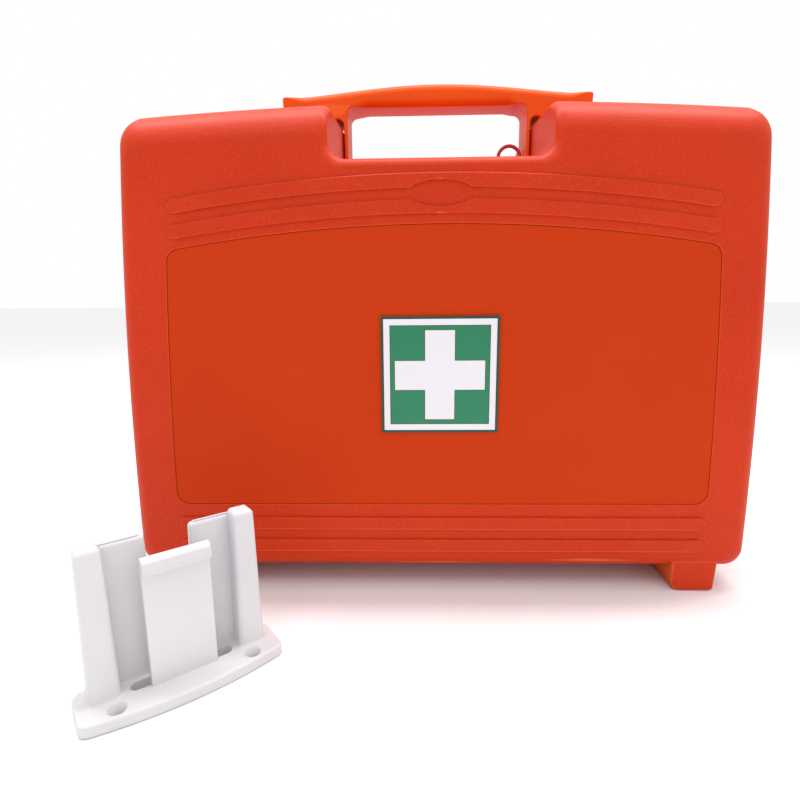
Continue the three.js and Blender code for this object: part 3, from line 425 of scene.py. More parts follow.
def outwards(points):
    # mitred outward direction at each point of a closed outline drawn anticlockwise
    ahead = unit(np.roll(points, -1, 0) - points)
    behind = np.roll(ahead, 1, 0)
    mean = unit(ahead + behind)
    spread = np.clip((mean * ahead).sum(-1, keepdims=True), 0.5, 1)
    return np.stack((mean[:, 1], -mean[:, 0]), -1) / spread


def anticlockwise(points):
    # turned round if half the sum of x dy - y dx is negative
    x, y = points[:, 0], points[:, 1]
    area = (x * np.roll(y, -1) - y * np.roll(x, -1)).sum()
    return points if area > 0 else points[::-1]


def roundedSlab(outline, low, high, lowRound=0.8, highRound=0.8, steps=5, axis="y", flat=0.15,
                paired=False):
    # an outline pushed from low to high, its end edges quarter circles: at an angle a the outline is
    # inset by r (1 - sin a) and sunk by r (1 - cos a); each end has one more row, flat further in
    points = anticlockwise(outline)
    out = outwards(points)

    def rim(level, radius, sign):
        radius = np.broadcast_to(np.asarray(radius, float), (len(points),))
        angles = np.linspace(0, math.pi / 2, steps + 1)[:, None]
        inset = radius * (1 - np.sin(angles))
        along = level + sign * radius * (1 - np.cos(angles))
        flatAlong = np.full((1, len(points)), float(level))
        return np.concatenate((radius[None, :] + flat, inset)), np.concatenate((flatAlong, along))

    insetLow, alongLow = rim(low, lowRound, 1)
    insetHigh, alongHigh = rim(high, highRound, -1)
    inset = np.concatenate((insetLow, insetHigh[::-1]))
    along = np.concatenate((alongLow, alongHigh[::-1]))
    across = points[None] - out[None] * inset[..., None]
    return ringBody(np.insert(across, "xyz".index(axis), along, -1), paired)


def turned(profile, centre, axis="z", sides=48):
    # a profile of (radius, height) turned about an axis
    table = np.array(profile, float)
    angle = np.linspace(0, 2 * math.pi, sides, endpoint=False)
    one, two = table[:, 0, None] * np.cos(angle), table[:, 0, None] * np.sin(angle)
    height = np.broadcast_to(table[:, 1, None], one.shape)
    rings = np.insert(np.stack((one, two), -1), "xyz".index(axis), height, -1)
    return ringBody(rings + np.array(centre, float))


def box(x0, y0, z0, x1, y1, z1, edge=0.5, steps=3):
    return roundedSlab(rectangle(x0, z0, x1, z1, edge, steps), y0, y1, edge, edge, steps)


def recalculated(mesh):
    # faces turned outwards
    bm = bmesh.new()
    bm.from_mesh(mesh)
    bmesh.ops.recalc_face_normals(bm, faces=bm.faces)
    bm.to_mesh(mesh)
    bm.free()


def makePiece(name, parts, finish, body, stands=(), sharp=40, shift=(0, 0, 0), turn=0.0):
    starts = np.cumsum([0] + [len(p[0]) for p in parts[:-1]])
    verts = np.concatenate([p[0] for p in parts])
    faces = [[int(i) + start for i in face]
             for (_, part), start in zip(parts, starts.tolist()) for face in part]
    c, s = math.cos(turn), math.sin(turn)
    verts = verts @ np.array([[c, s, 0], [-s, c, 0], [0, 0, 1]]) + np.array(shift) + (0, seamY, 0)
    mesh = bpy.data.meshes.new(name)
    mesh.from_pydata((verts * mm).tolist(), [], faces)
    recalculated(mesh)
    mesh.shade_smooth()
    mesh.set_sharp_from_angle(angle=math.radians(sharp))
    made = bpy.data.objects.new(name, mesh)
    scene.collection.objects.link(made)
    mesh.materials.append(finishes[finish])
    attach(made, body)
    if stands:
        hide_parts(*stands)
    return made


shell = {
    "halfWidth": 200, "widest": 40, "sideBow": 2640, "bottom": 15, "top": 305.5, "topBow": 2600,
    "depth": shellDepth, "wall": 3, "draft": 1, "rounds": {"side": 10, "top": 24, "bottom": 9, "notch": 6},
    "corners": {"bottom": 11, "top": 12, "lip": 5, "notch": 10},
    "notchHalf": 62.5, "notchFloor": 273, "notchDraft": 3, "seam": 0.25,
    # how far along an edge a corner looks for its direction
    "sideReach": 40, "topReach": 25,
    "counts": {"bottom": 10, "side": 26, "top": 16, "wall": 5, "floor": 8, "arc": 10},
    # depths of the rows along the outside and the hollow, and the flat step in from a rounded edge
    "outerRows": (74, 62, 48, 36, 28), "innerRows": (60, 45, 32, 27), "faceStep": 0.5,
    # rim rows: inset, and distance from the seam
    "rimInset": (0.0, 0.08, 0.3), "rimRows": (0.6, 0.35, 0.25), "lipRow": 0.55, "lipEdge": 0.3,
}


def pair(x, z):
    return np.stack(np.broadcast_arrays(x, z), -1)


def halfWidthAt(z):
    # half width less (z - widest)^2 / (2 bow)
    return shell["halfWidth"] - (z - shell["widest"]) ** 2 / (2 * shell["sideBow"])


def topAt(x):
    # top less x^2 / (2 bow)
    return shell["top"] - x ** 2 / (2 * shell["topBow"])


def rounding(radius, depth):
    # how far a quarter circle of this radius has come in at a depth behind the face
    inner = np.clip(radius - depth, 0, radius)
    return radius - np.sqrt(np.maximum(radius ** 2 - inner ** 2, 0))


def between(start, end, count):
    # count points between two arrays of points, both ends left out
    t = (np.arange(count) + 1) / (count + 1)
    return start[:, None] + (end - start)[:, None] * t[None, :, None]


def bowedRun(start, end, count, axis, curve):
    # points between start and end set on a curve; what each end is off it fades towards the other
    run = between(start, end, count)
    t = (np.arange(count) + 1) / (count + 1)
    first, last = (point[:, axis] - curve(point[:, 1 - axis]) for point in (start, end))
    run[..., axis] = curve(run[..., 1 - axis].T).T + first[:, None] * (1 - t) + last[:, None] * t
    return run


def mirroredHalf(half):
    # a right half from the bottom middle round to the top middle, closed by its mirror image
    left = half[:, 1:-1][:, ::-1] * (-1, 1)
    return np.concatenate((half, left), 1)


def caseOutlines(side, top, bottom, notch):
    # one outline per entry of the four inset arrays
    n, corner = shell["counts"], shell["corners"]
    reach, topReach = shell["sideReach"], shell["topReach"]
    side, top, bottom, notch = (np.atleast_1d(np.asarray(v, float)) for v in (side, top, bottom, notch))
    low = shell["bottom"] + bottom
    sideX = lambda z: halfWidthAt(z) - side
    topZ = lambda x: topAt(x) - top
    lip = shell["notchHalf"] + notch
    lipTop, lipFoot = pair(lip, topZ(lip)), pair(lip, shell["notchFloor"] - notch)
    lowMiddle, notchMiddle = pair(0 * low, low), lipFoot * (0, 1)
    cornerX = sideX(topAt(shell["halfWidth"]) - top)
    cornerZ = topZ(cornerX)
    nearSide, nearTop = cornerZ - reach, cornerX - topReach
    bottomArc = cornerArc(lowMiddle, pair(sideX(low), low), pair(sideX(low + reach), low + reach),
                          corner["bottom"], n["arc"])
    topArc = cornerArc(pair(sideX(nearSide), nearSide), pair(cornerX, cornerZ),
                       pair(nearTop, topZ(nearTop)), corner["top"], n["arc"])
    lipArc = cornerArc(pair(lip + topReach, topZ(lip + topReach)), lipTop, lipFoot, corner["lip"], n["arc"])
    notchArc = cornerArc(lipTop, lipFoot, notchMiddle, corner["notch"], n["arc"])
    return mirroredHalf(np.concatenate((
        lowMiddle[:, None], between(lowMiddle, bottomArc[:, 0], n["bottom"]), bottomArc,
        bowedRun(bottomArc[:, -1], topArc[:, 0], n["side"], 0, sideX), topArc,
        bowedRun(topArc[:, -1], lipArc[:, 0], n["top"], 1, topZ), lipArc,
        between(lipArc[:, -1], notchArc[:, 0], n["wall"]), notchArc,
        between(notchArc[:, -1], notchMiddle, n["floor"]), notchMiddle[:, None],
    ), 1))


panel = {
    "margin": 30, "top": 233, "bottom": 60, "corner": 8, "bow": 965, "depth": 1.2, "label": 0.6, "gap": 0.3,
    "topReach": 20,
    # shares of the top edge where the columns of the case's top and notch end
    "topShare": 0.5, "notchShare": 0.42,
    # recess rows from the face down its wall to its floor: inset, and depth
    "insets": (-0.8, -0.4, -0.12, 0, 0, 0.25, 0.8, 2), "depths": (0, 0, 0.12, 0.4, 0.95, 1.2, 1.2, 1.2),
}


def panelOutlines(inset):
    # label recess outlines, with the same run counts as the case outline, so that rings join
    n = shell["counts"]
    reach, topReach = shell["sideReach"], panel["topReach"]
    inset = np.atleast_1d(np.asarray(inset, float))
    sideX = lambda z: halfWidthAt(z) - panel["margin"] - inset
    topZ = lambda x: panel["top"] - inset - x ** 2 / (2 * panel["bow"])
    low = panel["bottom"] + inset
    lowMiddle = pair(0 * low, low)
    cornerX = sideX(panel["top"])
    high = topZ(cornerX)
    bottomArc = cornerArc(lowMiddle, pair(sideX(low), low), pair(sideX(low + reach), low + reach),
                          panel["corner"], n["arc"])
    topArc = cornerArc(pair(sideX(high - reach), high - reach), pair(cornerX, high),
                       pair(cornerX - topReach, topZ(cornerX - topReach)), panel["corner"], n["arc"])
    ends, narrow = topArc[:, -1, 0], n["arc"] * 2 + 2 + n["wall"]
    topShare, notchShare = panel["topShare"], panel["notchShare"]
    share = np.concatenate((
        np.linspace(1, topShare, n["top"] + 1)[1:],
        np.linspace(topShare, notchShare, narrow + 1)[1:],
        np.linspace(notchShare, 0, n["floor"] + 2)[1:],
    ))
    x = ends[:, None] * share
    z = topZ(x.T).T + (topArc[:, -1, 1] - topZ(ends))[:, None] * share
    return mirroredHalf(np.concatenate((
        lowMiddle[:, None], between(lowMiddle, bottomArc[:, 0], n["bottom"]), bottomArc,
        bowedRun(bottomArc[:, -1], topArc[:, 0], n["side"], 0, sideX), topArc, pair(x, z),
    ), 1))


def sectionInsets(depth, inset):
    # taper and edge rounding of the four kinds of edge, at a depth behind the face
    slope = 1 - depth / shell["depth"]
    drafts = {k: shell["notchDraft"] if k == "notch" else shell["draft"] for k in shell["rounds"]}
    return {k: inset + drafts[k] * slope + rounding(np.maximum(r - inset, 1), depth - inset)
            for k, r in shell["rounds"].items()}


def roundDepths(inset, steps=8):
    # depths that divide each edge's quarter circle into equal angles
    angle = np.linspace(0, math.pi / 2, steps + 1)
    radii = np.array([max(r - inset, 1) for r in shell["rounds"].values()])
    depths = inset + (radii[:, None] * (1 - np.sin(angle))).ravel()
    return np.unique(np.round(depths, 2))[::-1]


def levels(rings, y):
    # outlines (R, N, 2) set at depths y (R,)
    y = np.broadcast_to(np.asarray(y, float).reshape(-1, 1), rings.shape[:2])
    return np.stack((rings[..., 0], y, rings[..., 1]), -1)


def evenRings(insets, ys):
    # case outlines inset alike on every edge, at depths ys
    insets = np.array(insets, float)
    return levels(caseOutlines(insets, insets, insets, insets), ys)


def shellSides(facing, inset, rows, steps=8):
    # rows down the sides and round the edges, each at its section's insets
    deep = np.concatenate((rows, roundDepths(inset, steps)))
    return levels(caseOutlines(**sectionInsets(deep, inset)), facing * (shell["depth"] - deep))


def shellFace(facing, inset):
    # the first flat row inside the rounded edges
    insets = sectionInsets(np.array([inset]), inset)
    outlines = caseOutlines(**{k: v + shell["faceStep"] for k, v in insets.items()})
    return levels(outlines, facing * (shell["depth"] - inset))


def shellBody(facing, ledge):
    # one closed surface: recess floor, face, rounded edges, sides, rim, ledge and hollow
    near, far, reach = ledge
    wall, edge = float(shell["wall"]), shell["lipEdge"]
    recess = levels(panelOutlines(panel["insets"]), facing * (shell["depth"] - np.array(panel["depths"])))
    rim = evenRings(shell["rimInset"], facing * np.array(shell["rimRows"]))
    lip = evenRings(
        [wall - edge, wall, wall + 0.05, wall + edge, reach - edge, reach, reach, reach - edge, wall + 0.2],
        facing * np.array([shell["seam"], shell["lipRow"], near - edge, near, near, near + edge,
                           far - edge, far, far]))
    return ringBody(np.concatenate((
        recess[::-1], shellFace(facing, 0.0), shellSides(facing, 0.0, shell["outerRows"])[::-1], rim, lip,
        shellSides(facing, wall, shell["innerRows"], 6), shellFace(facing, wall))))


bands = {
    "tops": (261, 246.7), "lowTops": (51.4, 36.3), "height": 8.3, "bow": 965, "margin": 31, "rise": 1.6,
    "edge": 0.8, "oval": (19, 7.2), "overlap": 1.0, "columns": 90, "ovalColumns": 61, "ovalReach": 20,
}


def bandBody(level, bow, oval=0):
    # a capsule along an arch: two edges a height apart and half-round ends; oval cuts one edge to
    # an ellipse
    high, columns, reachIn = bands["height"], bands["columns"], bands["ovalReach"]
    reach = halfWidthAt(level) - bands["margin"] - high / 2
    x = np.unique(np.concatenate((np.linspace(-reach, reach, columns),
                                  np.linspace(-reachIn, reachIn, bands["ovalColumns"]))))
    drop = x ** 2 / (2 * bow) if bow else 0 * x
    upper, lower = level - drop, level - high - drop
    half, rise = bands["oval"]
    centre = (bands["tops"][0] + bands["tops"][1] - high) / 2
    bulge = rise * np.sqrt(np.clip(1 - (x / half) ** 2, 0, 1))
    cut = np.abs(x) < half
    if oval > 0:
        lower = np.where(cut, np.maximum(lower, centre + bulge), lower)
    if oval < 0:
        upper = np.where(cut, np.minimum(upper, centre - bulge), upper)
    angle = np.linspace(-math.pi / 2, math.pi / 2, 14)[1:-1]
    endMiddle = (0, level - high / 2 - (reach ** 2 / (2 * bow) if bow else 0))
    end = pair(reach + high / 2 * np.cos(angle), high / 2 * np.sin(angle))
    left = endMiddle - end
    outline = np.concatenate((left[6:], pair(x, lower), end + endMiddle, pair(x, upper)[::-1], left[:6]))
    face = -shell["depth"]
    return roundedSlab(outline, face - bands["rise"], face + bands["overlap"], bands["edge"], 0.02, 5,
                       paired=True)


foot = {
    "inner": 152, "outer": 181, "clear": 20, "round": 6, "taper": 1.5, "toe": 2.5, "edge": 1.2, "flat": 1.0,
}


def footBody(side, facing):
    # its section from the front, pushed from near the seam to the face
    top = shell["bottom"] + shell["wall"] / 2 + shell["rounds"]["bottom"] / 2
    corners = [(foot["inner"], 0, foot["round"]), (foot["outer"] - foot["taper"], 0, foot["toe"]),
               (foot["outer"], top, 0), (foot["inner"], top, 0)]
    outline = roundedPath(corners, 8) * (side, 1)
    ends = sorted((facing * foot["clear"], facing * (shell["depth"] - shell["draft"])))
    return roundedSlab(outline, *ends, foot["edge"], foot["edge"], flat=foot["flat"])


ramp = {
    "inner": 159.5, "outer": 176, "top": 313, "depth": 14,
    "sunk": 1.5, "lean": 0.4, "tip": 0.8, "edge": 0.5,
}


def rampBody(side, facing):
    # a wedge that rises towards its latch
    root = float(topAt(ramp["outer"])) - ramp["sunk"]
    tip = (ramp["inner"] + ramp["lean"], ramp["top"], ramp["tip"])
    outline = roundedPath([(ramp["outer"], root, 0), tip, (ramp["inner"], root, 0)])
    ends = sorted((facing * shell["seam"], facing * ramp["depth"]))
    return roundedSlab(outline * (side, 1), *ends, ramp["edge"], ramp["edge"])


knuckle = {
    "x": 105, "z": 10.4, "radius": 4.1, "lengths": (14, 18, 14), "gap": 0.4, "webNear": 0.3, "web": 8.2,
    "sunk": 1.5, "edge": 0.5,
}


def knuckleBodies(facing):
    # the rear shell has the outer two of each set of three, the lid the middle one
    ends = np.cumsum((0,) + knuckle["lengths"]) - sum(knuckle["lengths"]) / 2
    made = []
    for side in (-1, 1):
        for k in ((0, 2) if facing > 0 else (1,)):
            x0 = side * knuckle["x"] + ends[k] + knuckle["gap"] / 2
            x1 = side * knuckle["x"] + ends[k + 1] - knuckle["gap"] / 2
            r, edge = knuckle["radius"], knuckle["edge"]
            profile = [(0.01, x0), (r - edge, x0), (r, x0 + edge),
                       (r, x1 - edge), (r - edge, x1), (0.01, x1)]
            made.append(turned(profile, (0, 0, knuckle["z"]), "x", 40))
            y0, y1 = sorted((facing * knuckle["webNear"], facing * knuckle["web"]))
            made.append(box(x0, y0, knuckle["z"], x1, y1, shell["bottom"] + knuckle["sunk"]))
    return made


lug = {"x": 100, "rod": 10.25, "thick": 5, "half": 3, "level": 23.5, "sunk": 1.5, "edge": 0.6}


def lugBody(side):
    # a block that holds an end of the cover's rod
    x, half, thin = side * lug["x"], lug["half"], lug["thick"] / 2
    return box(x - thin, lug["rod"] - half, shell["bottom"] + lug["sunk"],
               x + thin, lug["rod"] + half, lug["level"] + half, lug["edge"])


bothSides = (-1, 1)
lidLedge = (11.3, 14.3, 10.0)
rearLedge = (3.75, 6.75, 7.0)
frontParts = [shellBody(-1, lidLedge)]
frontParts += [bandBody(bands["tops"][0], bands["bow"], 1), bandBody(bands["tops"][1], bands["bow"], -1)]
frontParts += [bandBody(level, 0) for level in bands["lowTops"]]
frontParts += [make(s, -1) for make in (footBody, rampBody) for s in bothSides] + knuckleBodies(-1)
makePiece("lidShell", frontParts, "shellOrange", "lid", ["front_shell"], 50)
rearParts = [shellBody(1, rearLedge)]
rearParts += [make(s, 1) for make in (footBody, rampBody) for s in bothSides] + knuckleBodies(1)
rearParts += [lugBody(s) for s in bothSides]
makePiece("rearBody", rearParts, "shellOrange", "case", ["rear_shell"], 50)
print("shells made")

labelFace = -shell["depth"] + panel["depth"] - panel["gap"] - panel["label"]
labelBody = roundedSlab(panelOutlines(panel["gap"])[0], labelFace, labelFace + panel["label"],
                        0.25, 0.05, 3)
makePiece("labelSheet", [labelBody], "labelOrange", "lid", ["label_panel"])

handle = {
    "half": 103, "wingTop": 322.6, "top": 330, "under": 316.5, "depth": 28, "leg": 2.4, "corner": 5,
    "edge": 5, "rim": 0.75, "tip": 1.1, "step": 12, "arch": 6, "gap": 0.3,
    "archRound": 4, "seatRound": 3, "wingRound": 1.6, "wingFade": 14, "underFade": 10, "underExtra": 0.8,
}


def handleBody():
    # crown: wing height plus the rise times (half + half cos(pi x / half length)) to the power 0.75
    half = handle["half"]
    seat = lambda x: float(topAt(x)) + handle["gap"]
    outer = shell["notchHalf"] - handle["gap"]
    inner = outer - handle["leg"]
    low = shell["notchFloor"] + shell["corners"]["notch"] + handle["gap"]
    seatX = shell["notchHalf"] + handle["step"]
    x = np.linspace(half - 3, 3 - half, 81)
    rise = (handle["top"] - handle["wingTop"]) * (0.5 + 0.5 * np.cos(math.pi * x / half)) ** 0.75
    top = np.stack((x, handle["wingTop"] + rise), -1)
    under = np.stack((np.linspace(6 - inner, inner - 6, 48), np.full(48, handle["under"])), -1)
    tip = handle["tip"]
    corners = [(0, handle["under"], 0), (inner, handle["under"], handle["corner"]), (inner, low, tip),
               (outer, low, tip), (outer, seat(outer) + handle["arch"], handle["archRound"]),
               (seatX, seat(seatX) + 0.2, handle["seatRound"]), (half - 1, seat(half - 1), handle["wingRound"]),
               (half, handle["wingTop"], handle["wingRound"]), (0, handle["wingTop"], 0)]
    right = roundedPath(corners, 8)[1:-1]
    left = right[::-1] * (-1, 1)
    outline = np.concatenate((under, right, top, left))
    # the crown's and the grip's lower edges are rounded more, by 3 f^2 - 2 f^3 of the fade f
    crown = outline[:, 1] > handle["wingTop"] - 0.01
    fade = np.clip((half - 2 - np.abs(outline[:, 0])) / handle["wingFade"], 0, 1) * crown
    radius = handle["rim"] + (handle["edge"] - handle["rim"]) * fade * fade * (3 - 2 * fade)
    below = (outline[:, 1] > handle["under"] - 0.01) & (outline[:, 1] < handle["under"] + 0.01)
    fade = np.clip((inner - 4 - np.abs(outline[:, 0])) / handle["underFade"], 0, 1) * below
    extra = handle["edge"] - handle["rim"] + handle["underExtra"]
    radius = radius + extra * fade * fade * (3 - 2 * fade)
    y = handle["depth"] / 2
    return roundedSlab(outline, -y, y, radius, radius, 9)


makePiece("carryGrip", [handleBody()], "handleOrange", "case", ["carry_handle"], 50)
print("handle made")

knob = {
    "x": 133, "y": 9, "radius": 17, "height": 16.6, "disc": 10, "barHalf": 4, "barIn": 2.5, "dish": 1.6,
    "rim": 2.6, "crown": 2.4, "ribs": 28, "ribIn": 0.35,
    # radius and height down a rib
    "rib": ((0.01, 1.6), (0.55, 1.9), (0.75, 2.6), (0.75, 6.4), (0.4, 7.2), (0.01, 7.4)),
}


def knobBodies():
    # a disc with a rolled rim and a shallow dish, and a raised grip bar across it
    r, top, dish, roll = knob["radius"], knob["disc"], knob["dish"], knob["rim"]
    angle = np.linspace(0, math.pi / 2, 9)
    rim = [(r - roll + roll * math.cos(a), top - roll + roll * math.sin(a)) for a in angle]
    skirt = [(0.01, 0), (r - 0.8, 0), (r - 0.2, 0.3), (r, 1)]
    dished = [(r - 3.6, top - 0.1), (r - 4.6, top - 0.7), (r - 5.8, top - dish), (0.01, top - dish)]
    disc = turned(skirt + rim + dished, (0, 0, 0), "z", 72)
    reach, half = r - knob["barIn"], knob["barHalf"]
    bar = rectangle(-reach, -half, reach, half, half - 0.1)
    grip = roundedSlab(bar, top - dish - 1, knob["height"], 0.02, knob["crown"], 7, "z")
    bodies = [disc, grip]
    for k in range(knob["ribs"]):
        turn = 2 * math.pi * k / knob["ribs"]
        place = (math.cos(turn) * (r - knob["ribIn"]), math.sin(turn) * (r - knob["ribIn"]), 0)
        bodies.append(turned(knob["rib"], place, "z", 8))
    return bodies


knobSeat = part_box("latch_knob_left")[1].z / mm - knob["height"]
for side, word in ((-1, "left"), (1, "right")):
    parts = [(verts + (side * knob["x"], knob["y"], knobSeat), faces) for verts, faces in knobBodies()]
    makePiece("latchKnob_" + word, parts, "whitePlastic", "latch_" + word,
              ["latch_knob_" + word], 45)

bracket = {
    "place": (-130.9, -164.4, 0), "turn": 39, "half": 49, "front": 14, "bow": 6, "back": 19, "thick": 6,
    "slot": (25, 2, 8.5, 3), "screws": (32.6, -5.2, 2.3, 4.4), "edge": 1.4, "taper": 1.6, "dome": 3,
    "outer": {"x": (29, 43), "y": (2, 16), "top": 82}, "inner": {"x": (9, 35), "y": (11.5, 18), "top": 79},
    "tongue": {"half": 16, "y": (0, 4), "top": 73},
    # rows of a post: height over the plate and outward flare at its foot, then heights up its sides
    "footRows": (-1, 0, 0.5, 1.4), "footFlare": (1.2, 1.2, 0.45, 0), "sideRows": (20, 40, 60),
    # the tongue's rolled lip: forward of the face, over its top, and corner radius
    "lip": ((-1, 0, 0.8), (1.2, 0, 1), (3.2, -2, 1.2), (3.6, -6, 1.2), (2.4, -9, 1.0), (0, -9, 0.5)),
}


def postBody(side, spec):
    # a post that narrows upwards, its top a soft dome: inset r (1 - cos a), height r sin a
    (x0, x1), (y0, y1), top = spec["x"], spec["y"], spec["top"]
    thick, dome = bracket["thick"], min(bracket["dome"], (y1 - y0) / 2 - 0.8)
    angle = np.linspace(0, math.pi / 2, 8)
    feet, sides = np.array(bracket["footRows"]), bracket["sideRows"]
    heights = np.concatenate((thick + feet, sides, top - dome + dome * np.sin(angle)))
    flare = np.concatenate((-np.array(bracket["footFlare"]), np.zeros(len(sides)),
                            dome * (1 - np.cos(angle))))
    insets = flare + bracket["taper"] * (heights - thick) / (top - thick)
    rings = []
    for inset, height in zip(insets.tolist(), heights.tolist()):
        corner = max(dome + 0.2 - inset, 0.25)
        flat = rectangle(x0 + inset, y0 + inset, x1 - inset, y1 - inset, corner, 7) * (side, 1)
        rings.append(np.column_stack((flat, np.full(len(flat), height))))
    return ringBody(np.stack(rings))


def tongueBody():
    # a sprung strip with a rolled lip: its section is carried across the width
    face, back = bracket["tongue"]["y"]
    top, floor = bracket["tongue"]["top"], bracket["thick"] - 1
    lip = [(face - ahead, top + over, radius) for ahead, over, radius in bracket["lip"]]
    section = roundedPath([(face, floor, 0), (back, floor, 0), (back, top - 3, 1.5)] + lip, 5)
    half = bracket["tongue"]["half"]
    return roundedSlab(section, -half, half, 0.45, 0.45, 4, "x")


def looseObject(body):
    mesh = bpy.data.meshes.new("loose")
    mesh.from_pydata(body[0].tolist(), [], [[int(i) for i in face] for face in body[1]])
    recalculated(mesh)
    made = bpy.data.objects.new("loose", mesh)
    scene.collection.objects.link(made)
    return made


def cutBody(body, tools):
    # one closed surface less some others
    loose = looseObject(body)
    cutters = [looseObject(tool) for tool in tools]
    for tool in cutters:
        change = loose.modifiers.new("cut", "BOOLEAN")
        change.operation = "DIFFERENCE"
        change.solver = "EXACT"
        change.object = tool
    mesh = loose.evaluated_get(bpy.context.evaluated_depsgraph_get()).to_mesh()
    spots = np.empty(len(mesh.vertices) * 3)
    mesh.vertices.foreach_get("co", spots)
    faces = [list(face.vertices) for face in mesh.polygons]
    for made in [loose] + cutters:
        bpy.data.objects.remove(made)
    return spots.reshape(-1, 3), faces


def bracketBodies():
    half, back, thick = bracket["half"], bracket["back"], bracket["thick"]
    bow = [(-half * t, -bracket["front"] + bracket["bow"] * t * t, 5 if abs(t) == 1 else 0)
           for t in np.linspace(-1, 1, 21).tolist()]
    outline = roundedPath([(half, back, 6), (-half, back, 6)] + bow[::-1], 8)
    plate = roundedSlab(outline, 0, thick, 0.3, bracket["edge"], 5, "z")
    slotEnd, slotLow, slotHigh, slotCorner = bracket["slot"]
    slot = roundedSlab(rectangle(-slotEnd, slotLow, slotEnd, slotHigh, slotCorner), -1, thick + 1,
                       0.02, 0.02, 1, "z")
    screwX, screwY, screwRadius, screwHead = bracket["screws"]
    sink = [(0.01, -1), (screwRadius, -1), (screwRadius, thick / 2), (screwHead, thick + 0.1),
            (screwHead, thick + 1), (0.01, thick + 1)]
    holes = [turned(sink, (side * screwX, screwY, 0), "z", 40) for side in bothSides]
    posts = [postBody(side, bracket[which]) for side in bothSides for which in ("outer", "inner")]
    return [cutBody(plate, [slot] + holes), tongueBody()] + posts


makePiece("wallBracket", bracketBodies(), "whitePlastic", "bracket", ["wall_bracket"], 45,
          bracket["place"], math.radians(bracket["turn"]))
print("bracket made")


def dress(finish, *names):
    # a CAD node keeps its shape and takes a finish
    for name in names:
        mesh = nodes[name].data
        mesh.materials.clear()
        mesh.materials.append(finishes[finish])


bothWords = ("left", "right")
dress("signWhite", "sign_frame", "sign_cross")
dress("signGreen", "sign_field")
dress("borderGreen", "sign_border")
dress("rubberBlack", "rim_seal")
dress("brushedSteel", "cover_rod", "scissor_blade_a", "scissor_blade_b", "scissor_rivet",
      *[part + word for part in ("hinge_pin_", "handle_screw_", "latch_cam_", "latch_screw_")
        for word in bothWords])
dress("greyPlastic", "rear_insert", "lid_insert", *["cover_rivet_%d" % k for k in (1, 2, 3, 4)])
dress("clearSheet", "rear_cover", "lid_cover")

loop = {"wire": 1.2, "along": 64, "around": 14}
low, high = (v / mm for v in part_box("seal_loop"))


def sealLoop():
    # a circle of wire carried along an ellipse beside the handle's leg
    reach, tall = high.x - low.x - loop["wire"], (high.z - low.z) / 2 - loop["wire"]
    centre = Vector((high.x - loop["wire"], (low.y + high.y) / 2 - seamY, (low.z + high.z) / 2))
    t = np.linspace(0, 2 * math.pi, loop["along"], endpoint=False)
    path = np.stack((-reach * (0.5 + 0.5 * np.cos(t)), 0 * t, tall * np.sin(t)), -1)
    ahead = unit(np.roll(path, -1, 0) - np.roll(path, 1, 0))
    side = np.array([0.0, 1.0, 0.0])
    rise = np.cross(ahead, side)
    a = np.linspace(0, 2 * math.pi, loop["around"], endpoint=False)[None, :, None]
    rings = path[:, None] + loop["wire"] * (np.cos(a) * side + np.sin(a) * rise[:, None])
    return (rings + np.array(centre)).reshape(-1, 3), closedGrid(loop["along"], loop["around"])


makePiece("sealLoop", [sealLoop()], "sealRed", "case", ["seal_loop"], 60)


def nodeBox(name):
    low, high = (np.array(v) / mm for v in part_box(name))
    return low - (0, seamY, 0), high - (0, seamY, 0)


def packFrame(name, thin, long):
    # centre and half sizes of a node's box, and which axes are its (wide, thin, long)
    low, high = nodeBox(name)
    order = [3 - thin - long, thin, long]
    return (low + high) / 2, (high - low)[order] / 2, order


def superEllipse(angle, power):
    # x = sign(cos) |cos|^(2/p), y the same with sin
    c, s = np.cos(angle), np.sin(angle)
    return np.sign(c) * np.abs(c) ** (2 / power), np.sign(s) * np.abs(s) ** (2 / power)


filled = {
    "seal": 5.0, "sealRows": 14, "sealHalf": 0.45, "crimp": 0.22, "crimpPitch": 1.6,
    "power": 3.2, "drawnIn": 0.035, "gather": 0.6, "fade": 14, "slow": 0.35, "around": 96, "along": 70,
}


